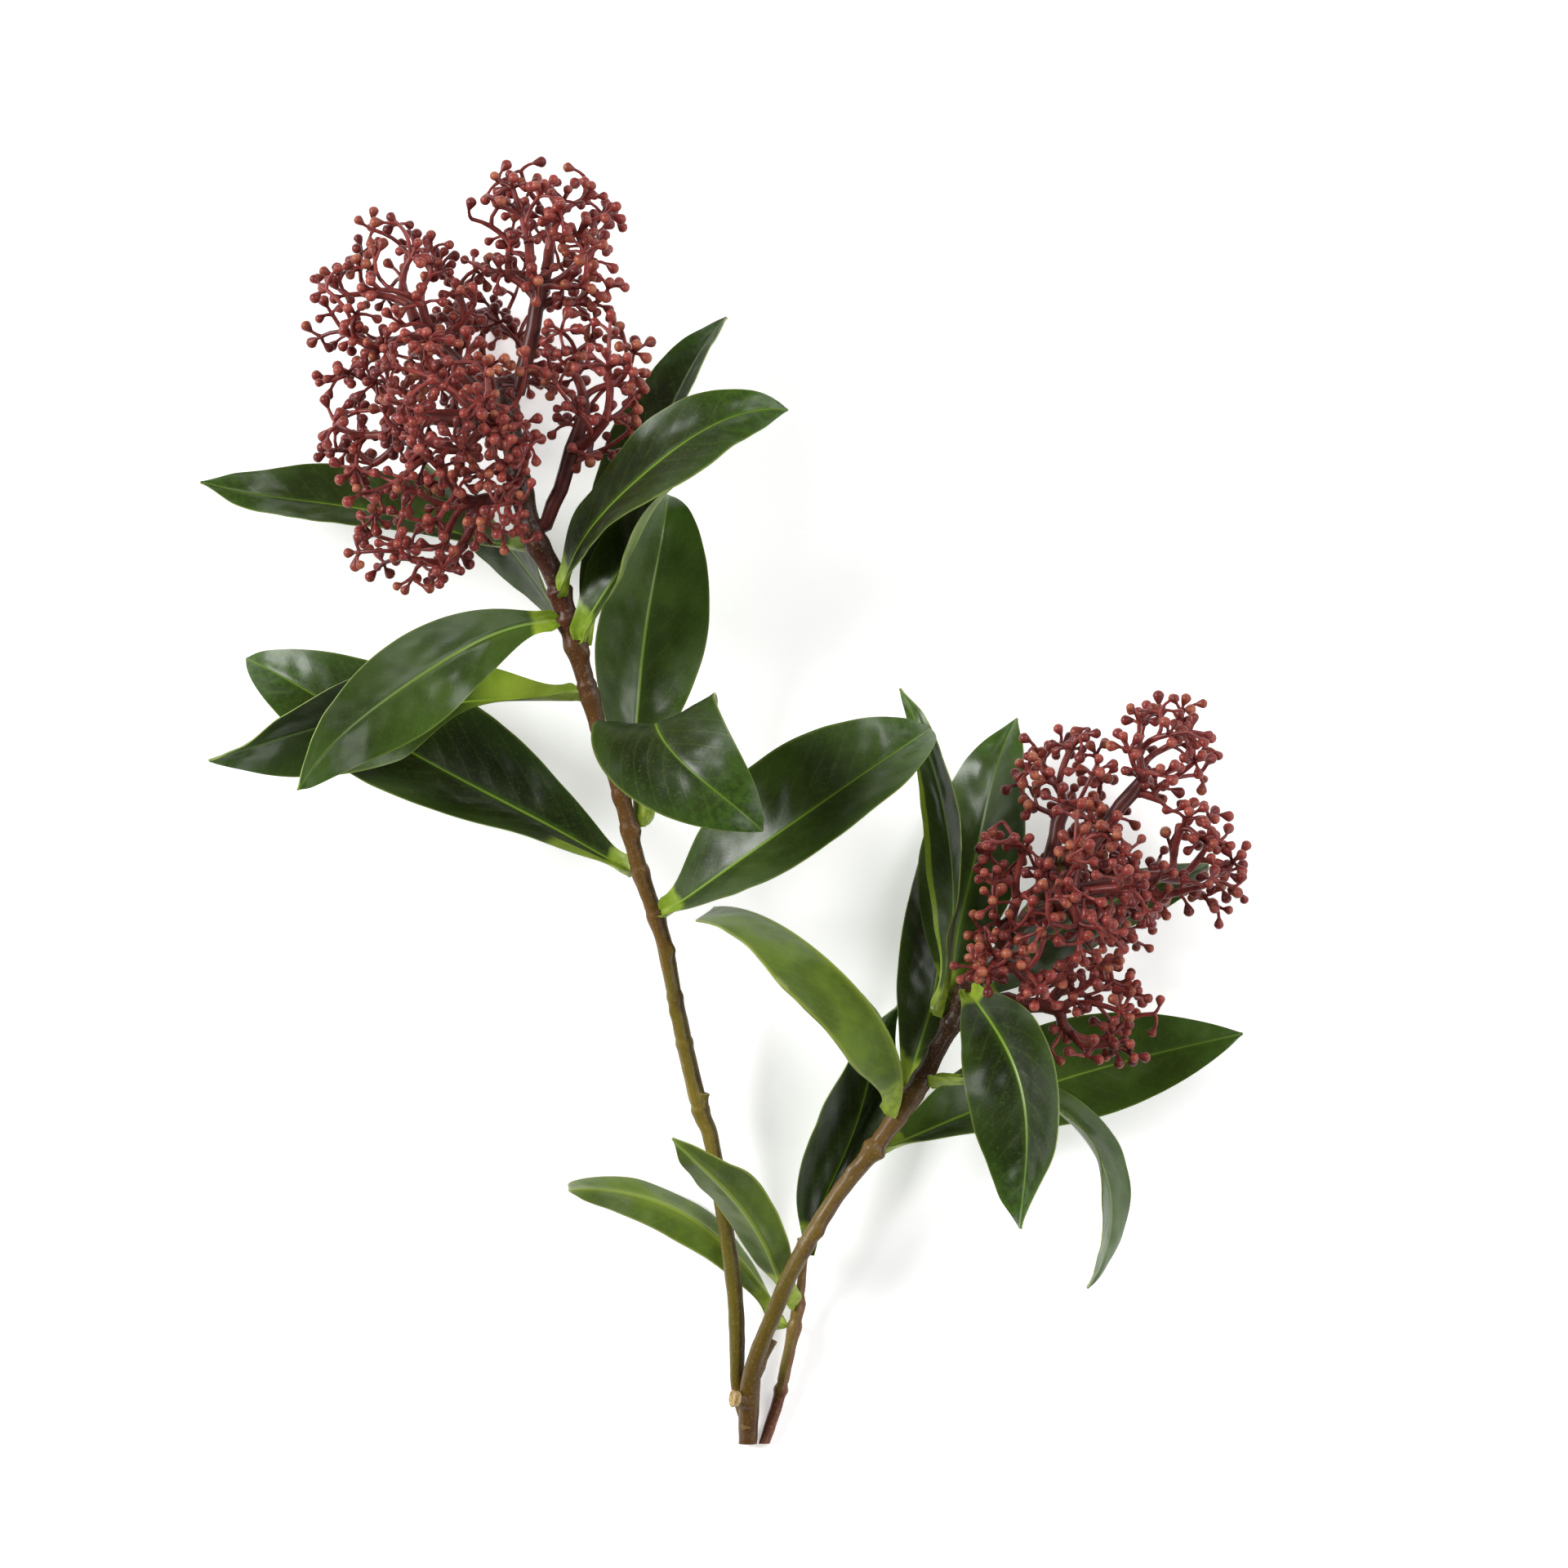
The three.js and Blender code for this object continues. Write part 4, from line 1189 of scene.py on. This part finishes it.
def bridges_of(sprig, hearts):
    """Further places that close the gaps between a sprig and its neighbours."""
    bridges = []
    for place in even_places(sprig, 9):
        place = sprig.centre + (place - sprig.centre) * BRIDGE_REACH
        nearest = min(depth(other, place) for other in sprigs if other is not sprig)
        if depth(sprig, place) < BRIDGE_DEPTHS[0] or nearest > BRIDGE_DEPTHS[1]:
            continue
        if not is_clear(sprig, place, SOLID_BUD_RADIUS, BRIDGE_REACH, 0):
            continue
        if all((other - place).length > 2 * SOLID_BUD_RADIUS for other in hearts + bridges):
            bridges.append(place)
    return bridges


def in_shaft(point):
    return any(math.hypot(point.x - x, point.y - y) < radius for x, y, radius in SHAFTS)


def arc(start, leaving, end, steps):
    """Points on a curve that leaves start in a direction and bends to end."""
    middle = start + leaving * (0.5 * (end - start).length)
    points = []
    for i in range(steps + 1):
        t = i / steps
        points.append(start.lerp(middle, t).lerp(middle.lerp(end, t), t))
    return points


def off_axis(forward, tilt, turn):
    """A direction at an angle to forward, turned round it."""
    across = forward.orthogonal().normalized()
    second = forward.cross(across)
    return swung(forward, swung(across, second, turn), tilt)


class Sprig:
    """The skeleton of one dressed sprig: branching stalks with a group of small buds at every end."""

    def __init__(self, plan, standing):
        self.plan = plan
        self.rand = random_source(100 * plan.number + 23)
        self.standing = standing
        self.joints = []
        self.chains = []
        self.lines = []
        self.buds = []
        self.add_axis()
        forks = forks_of(plan)
        hearts = hearts_of(plan, forks)
        ends = [end for _, end in forks] + hearts + bridges_of(plan, hearts)
        ends += [Vector(place) for place in FAR_ENDS.get(plan.name, [])]
        ends = [end for end in ends if not in_shaft(end)]
        start = plan.axis[0]
        knots = [self.reach_out(end) for end in sorted(ends, key=lambda end: (end - start).length)]
        for chain in self.chains:
            radii = [self.thickness(joint) for joint in chain[1:]]
            radii.insert(0, radii[0] * FORK_FLARE)
            self.lines.append(([joint.place for joint in chain], radii))
        for knot in knots:
            self.ring_of_buds(knot.place, knot.forward)

    def add_joint(self, place, parent):
        run = parent.run + (place - parent.place).length if parent else 0
        forward = (place - parent.place).normalized() if parent else None
        joint = SimpleNamespace(place=place, parent=parent, run=run, forward=forward, load=0)
        self.joints.append(joint)
        return joint

    def add_axis(self):
        """The axis is rooted in the stem and has a slight zigzag, and nothing leaves it near the stem."""
        chain = [self.add_joint(self.plan.root, None)]
        chain.append(self.add_joint(self.plan.axis[0], chain[0]))
        for place in self.plan.axis[1:]:
            chain.append(self.add_joint(place + self.jitter(AXIS_JITTER), chain[-1]))
        self.chains.append(chain)
        self.joints = self.joints[BARE_JOINTS:]

    def reach_out(self, end):
        """Grows a curved stalk to a new end, from the joint that costs least."""
        def cost(joint):
            away = end - joint.place
            backward = max(0, -joint.forward.dot(away.normalized()))
            return away.length + DETOUR_COST * joint.run + BACKWARD_COST * backward

        root = min(self.joints, key=cost)
        straight = end - root.place
        leaving = root.forward * STALK_PULL + straight.normalized() + self.jitter(STALK_JITTER)
        steps = max(2, round(straight.length / STALK_STEP))
        chain = [root]
        for place in arc(root.place, leaving.normalized(), end, steps)[1:]:
            chain.append(self.add_joint(place, chain[-1]))
        self.chains.append(chain)
        joint = chain[-1]
        while joint:
            joint.load += 1
            joint = joint.parent
        return chain[-1]

    def thickness(self, joint):
        return min(THICKEST_STALK, STALK_RADIUS * (joint.load + 0.5) ** STALK_POWER)

    def ring_of_buds(self, knot, forward):
        """Buds on curved pedicels round a knot, each left out where it would leave the sprig's space."""
        low, high = GROUP_BUDS
        count = low + int(self.rand() * (high - low + 1))
        phase = 2 * math.pi * self.rand()
        tint = int(self.rand() * TINTS)
        self.add_bud(knot, forward, forward, mix(*GROUP_REACH, 0.5 * self.rand()), tint)
        for k in range(count):
            tilt = math.radians(mix(*BUD_TILTS, self.rand()))
            aim = off_axis(forward, tilt, phase + 2 * math.pi * (k + 0.5 * self.rand()) / count)
            length = mix(*GROUP_REACH, self.rand())
            stray = tint if self.rand() < TINTED_ALIKE else int(self.rand() * TINTS)
            self.add_bud(knot, (aim + forward * PEDICEL_PULL).normalized(), aim, length, stray)

    def add_bud(self, knot, leaving, aim, length, tint):
        aim = (aim + self.jitter(BUD_JITTER)).normalized()
        bud = knot + aim * length
        if bud.z < LOWEST_BUD or in_shaft(bud):
            return
        if not is_clear(self.plan, bud, BUD_CLEAR, BUD_REACH, BUD_EASE, BUD_LEAF_CLEAR):
            return
        if any((bud - other).length < BUD_SPACING for other in self.standing):
            return
        places = arc(knot, leaving, bud, 4)
        finish = (places[-1] - places[-2]).normalized()
        radii = [mix(*PEDICEL_RADII[:2], min(1, i / 2)) for i in range(4)] + [PEDICEL_RADII[2]]
        self.lines.append((places, radii))
        self.standing.append(bud)
        self.buds.append((bud, finish, mix(*BUD_SCALES, self.rand()), tint))

    def jitter(self, size):
        return Vector((self.rand() - 0.5, self.rand() - 0.5, self.rand() - 0.5)) * (2 * size)


# ---- Geometry node trees for stalks and buds ----

def node_tree(name, inputs):
    """A geometry node tree with named inputs, and the identifiers to set them by."""
    tree = bpy.data.node_groups.new(name, "GeometryNodeTree")
    tree.interface.new_socket("Geometry", in_out="INPUT", socket_type="NodeSocketGeometry")
    identifiers = {}
    for label, kind in inputs.items():
        identifiers[label] = tree.interface.new_socket(label, in_out="INPUT", socket_type=kind).identifier
    tree.interface.new_socket("Geometry", in_out="OUTPUT", socket_type="NodeSocketGeometry")
    given = tree.nodes.new("NodeGroupInput").outputs
    return tree, identifiers, given, tree.nodes.new("NodeGroupOutput").inputs


def named(tree, label, kind):
    node = add(tree, "GeometryNodeInputNamedAttribute", {"Name": label}, data_type=kind)
    return node.outputs["Attribute"]


def stalk_tree():
    """Sweeps a round section along every line, as thick as the line's own girth says."""
    inputs = {"Sides": "NodeSocketInt", "Skin": "NodeSocketMaterial"}
    tree, identifiers, given, out = node_tree("bud_stalks", inputs)
    lines = add(tree, "GeometryNodeMeshToCurve", {"Mesh": given["Geometry"]}).outputs[0]
    section = add(tree, "GeometryNodeCurvePrimitiveCircle", {"Resolution": given["Sides"], "Radius": 1.0})
    sweep = {"Curve": lines, "Profile Curve": section.outputs[0], "Scale": named(tree, "girth", "FLOAT")}
    swept = add(tree, "GeometryNodeCurveToMesh", {**sweep, "Fill Caps": True}).outputs[0]
    smoothed = add(tree, "GeometryNodeSetShadeSmooth", {0: swept}).outputs[0]
    real = add(tree, "GeometryNodeRealizeInstances", {"Geometry": smoothed}).outputs[0]
    skinned = add(tree, "GeometryNodeSetMaterial", {"Geometry": real, "Material": given["Skin"]}).outputs[0]
    tree.links.new(skinned, out["Geometry"])
    return tree, identifiers


def bud_shape(tree, given):
    """A closed bud as long as its inputs say: a ball whose lower half is drawn out to a neck."""
    ball = add(tree, "GeometryNodeMeshUVSphere", {"Segments": 10, "Rings": 7, "Radius": 1.0}).outputs[0]
    place = add(tree, "GeometryNodeInputPosition").outputs[0]
    x, y, z = add(tree, "ShaderNodeSeparateXYZ", {0: place}).outputs
    girth = fade(tree, z, -1.0, 0.35, given["Neck Share"])
    above = calc(tree, "MULTIPLY", calc(tree, "MAXIMUM", z, 0.0), given["Crown Length"])
    drawn = calc(tree, "MULTIPLY_ADD", calc(tree, "MINIMUM", z, 0.0), given["Neck Length"], above)
    shaped = {0: calc(tree, "MULTIPLY", x, girth), 1: calc(tree, "MULTIPLY", y, girth), 2: drawn}
    shaped = add(tree, "ShaderNodeCombineXYZ", shaped).outputs[0]
    marked = {"Geometry": ball, "Name": "crown", "Value": z}
    marked = add(tree, "GeometryNodeStoreNamedAttribute", marked, data_type="FLOAT").outputs[0]
    return add(tree, "GeometryNodeSetPosition", {"Geometry": marked, "Position": shaped}).outputs[0]


def bud_tree():
    """Stands a bud on every point, along the point's aim and at its own size, in one of four skins."""
    skins = [f"Skin {k}" for k in range(TINTS)]
    inputs = dict.fromkeys(("Bud Width", "Neck Share", "Neck Length", "Crown Length"), "NodeSocketFloat")
    inputs.update(dict.fromkeys(skins, "NodeSocketMaterial"))
    tree, identifiers, given, out = node_tree("standing_buds", inputs)
    aim = {"Vector": named(tree, "aim", "FLOAT_VECTOR")}
    half = calc(tree, "MULTIPLY", given["Bud Width"], 0.5)
    standing = add(tree, "GeometryNodeInstanceOnPoints", {
        "Points": given["Geometry"],
        "Instance": bud_shape(tree, given),
        "Rotation": add(tree, "FunctionNodeAlignRotationToVector", aim, axis="Z").outputs[0],
        "Scale": calc(tree, "MULTIPLY", named(tree, "size", "FLOAT"), half),
    }).outputs[0]
    real = add(tree, "GeometryNodeRealizeInstances", {"Geometry": standing}).outputs[0]
    shown = add(tree, "GeometryNodeSetShadeSmooth", {0: real}).outputs[0]
    for k, skin in enumerate(skins):
        pick = add(tree, "FunctionNodeCompare", data_type="INT", operation="EQUAL")
        sockets = {socket.identifier: socket for socket in pick.inputs}
        tree.links.new(named(tree, "tint", "INT"), sockets["A_INT"])
        sockets["B_INT"].default_value = k
        dressed = {"Geometry": shown, "Selection": pick.outputs[0], "Material": given[skin]}
        shown = add(tree, "GeometryNodeSetMaterial", dressed).outputs[0]
    tree.links.new(shown, out["Geometry"])
    return tree, identifiers


def grown(name, mesh, tree, identifiers, values):
    """Runs a node tree on a mesh and keeps the result as a plain mesh."""
    piece = linked(name, mesh)
    modifier = piece.modifiers.new("grow", "NODES")
    modifier.node_group = tree
    for label, value in values.items():
        modifier[identifiers[label]] = value
    evaluated = piece.evaluated_get(bpy.context.evaluated_depsgraph_get())
    result = bpy.data.meshes.new_from_object(evaluated)
    piece.modifiers.clear()
    piece.data = result
    result.name = name
    for attribute in [a.name for a in result.attributes if a.name in ("aim", "size", "tint")]:
        result.attributes.remove(result.attributes[attribute])
    return piece


def line_mesh(lines):
    """Loose lines in metres, with the girth of each vertex."""
    vertices = []
    edges = []
    girths = []
    for places, radii in lines:
        first = len(vertices)
        vertices += [(place - ORIGIN) * MM for place in places]
        girths += [radius * MM for radius in radii]
        edges += [(first + i, first + i + 1) for i in range(len(places) - 1)]
    mesh = bpy.data.meshes.new("stalk_lines")
    mesh.from_pydata(vertices, edges, [])
    mesh.attributes.new("girth", "FLOAT", "POINT").data.foreach_set("value", girths)
    return mesh


def point_mesh(buds):
    """Loose points in metres, with the aim, size and tint of the bud on each."""
    mesh = bpy.data.meshes.new("bud_points")
    mesh.from_pydata([(bud[0] - ORIGIN) * MM for bud in buds], [], [])
    aims = [value for bud in buds for value in bud[1]]
    mesh.attributes.new("aim", "FLOAT_VECTOR", "POINT").data.foreach_set("vector", aims)
    mesh.attributes.new("size", "FLOAT", "POINT").data.foreach_set("value", [bud[2] for bud in buds])
    mesh.attributes.new("tint", "INT", "POINT").data.foreach_set("value", [bud[3] for bud in buds])
    return mesh


def make_sprig(plan, standing):
    """The stalks and the buds of one sprig, one joined piece each, clear of the buds that stand already."""
    sprig = Sprig(plan, standing)
    values = {"Sides": STALK_SIDES, "Skin": stalk_skin}
    stalks = grown(plan.name + "_stalks", line_mesh(sprig.lines), stalks_tree, stalk_inputs, values)
    values = {"Bud Width": BUD_WIDTH * MM, "Neck Share": 0.42, "Neck Length": 1.55, "Crown Length": 1.05}
    values.update({f"Skin {k}": skin for k, skin in enumerate(BUD_SKINS)})
    buds = grown(plan.name + "_buds", point_mesh(sprig.buds), buds_tree, bud_inputs, values)
    for piece in (stalks, buds):
        settle(piece, plan.name)


# ---- The spray ----

stalks_tree, stalk_inputs = stalk_tree()
buds_tree, bud_inputs = bud_tree()
for stem_name in STEMS:
    make_stem(stem_name)
for leaf in leaves:
    make_leaf(leaf)
standing_buds = []
for plan in sprigs:
    make_sprig(plan, standing_buds)

# ---- Floor, light and camera ----

FLOOR_HALF = 6.0
FLOOR_GLOW = 0.38
ROOM_LIGHT = 0.12
# Soft boxes round the spray: name, place in metres, size and power.
SOFT_BOXES = [
    ("key_light", (-1.8, 0.58, 1.32), 1, 60),
    ("right_light", (1.84, 0.62, 1.2), 0.9, 17),
    ("front_light", (1.5, -1.04, 1.4), 1.1, 15),
    ("over_light", (0.85, 0.94, 1.74), 0.7, 12),
]
CAMERA_PLACE = Vector((17.2, 5.2, 1773))
LENS = 135
SENSOR_WIDTH = 36


def make_floor():
    """A plain pale floor, far wider than the spray."""
    material, tree, surface = new_material("floor_paper", 0.9, 0.1)
    spots = use(tree, mottle, own_place(tree), Patch_Size=400.0)
    colour = blend(tree, spots["Patches"], (0.92, 0.92, 0.92, 1), (0.94, 0.94, 0.94, 1))
    tree.links.new(colour, surface.inputs["Base Color"])
    surface.inputs["Emission Color"].default_value = (1, 1, 1, 1)
    surface.inputs["Emission Strength"].default_value = FLOOR_GLOW
    corners = [(x * FLOOR_HALF, y * FLOOR_HALF, 0) for x, y in ((-1, -1), (1, -1), (1, 1), (-1, 1))]
    mesh = bpy.data.meshes.new("floor")
    mesh.from_pydata(corners, [], [(0, 1, 2, 3)])
    mesh.materials.append(material)
    linked("floor", mesh)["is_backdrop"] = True


def soft_light(name, place, size, power):
    """A square soft box that faces the spray."""
    lamp = bpy.data.lights.new(name, "AREA")
    lamp.size = size
    lamp.energy = power
    light = linked(name, lamp)
    light.location = place
    light.rotation_euler = (-Vector(place)).to_track_quat("-Z", "Y").to_euler()


def make_light():
    for box in SOFT_BOXES:
        soft_light(*box)
    world = bpy.data.worlds.new("room")
    world.use_nodes = True
    background = world.node_tree.nodes["Background"]
    background.inputs["Color"].default_value = (1, 1, 1, 1)
    background.inputs["Strength"].default_value = ROOM_LIGHT
    bpy.context.scene.world = world


def make_camera():
    """A long lens straight above the spray, with the stems' cut end at the bottom of the frame."""
    camera = linked("camera", bpy.data.cameras.new("camera"))
    camera.data.lens = LENS
    camera.data.sensor_width = SENSOR_WIDTH
    camera.location = (CAMERA_PLACE - ORIGIN) * MM
    bpy.context.scene.camera = camera


make_floor()
make_light()
make_camera()
bpy.context.scene.view_settings.view_transform = "Standard"

boxes = {"solids": solid_box, "dressed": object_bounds()}
{key: [list(corner) for corner in value] for key, value in boxes.items()}
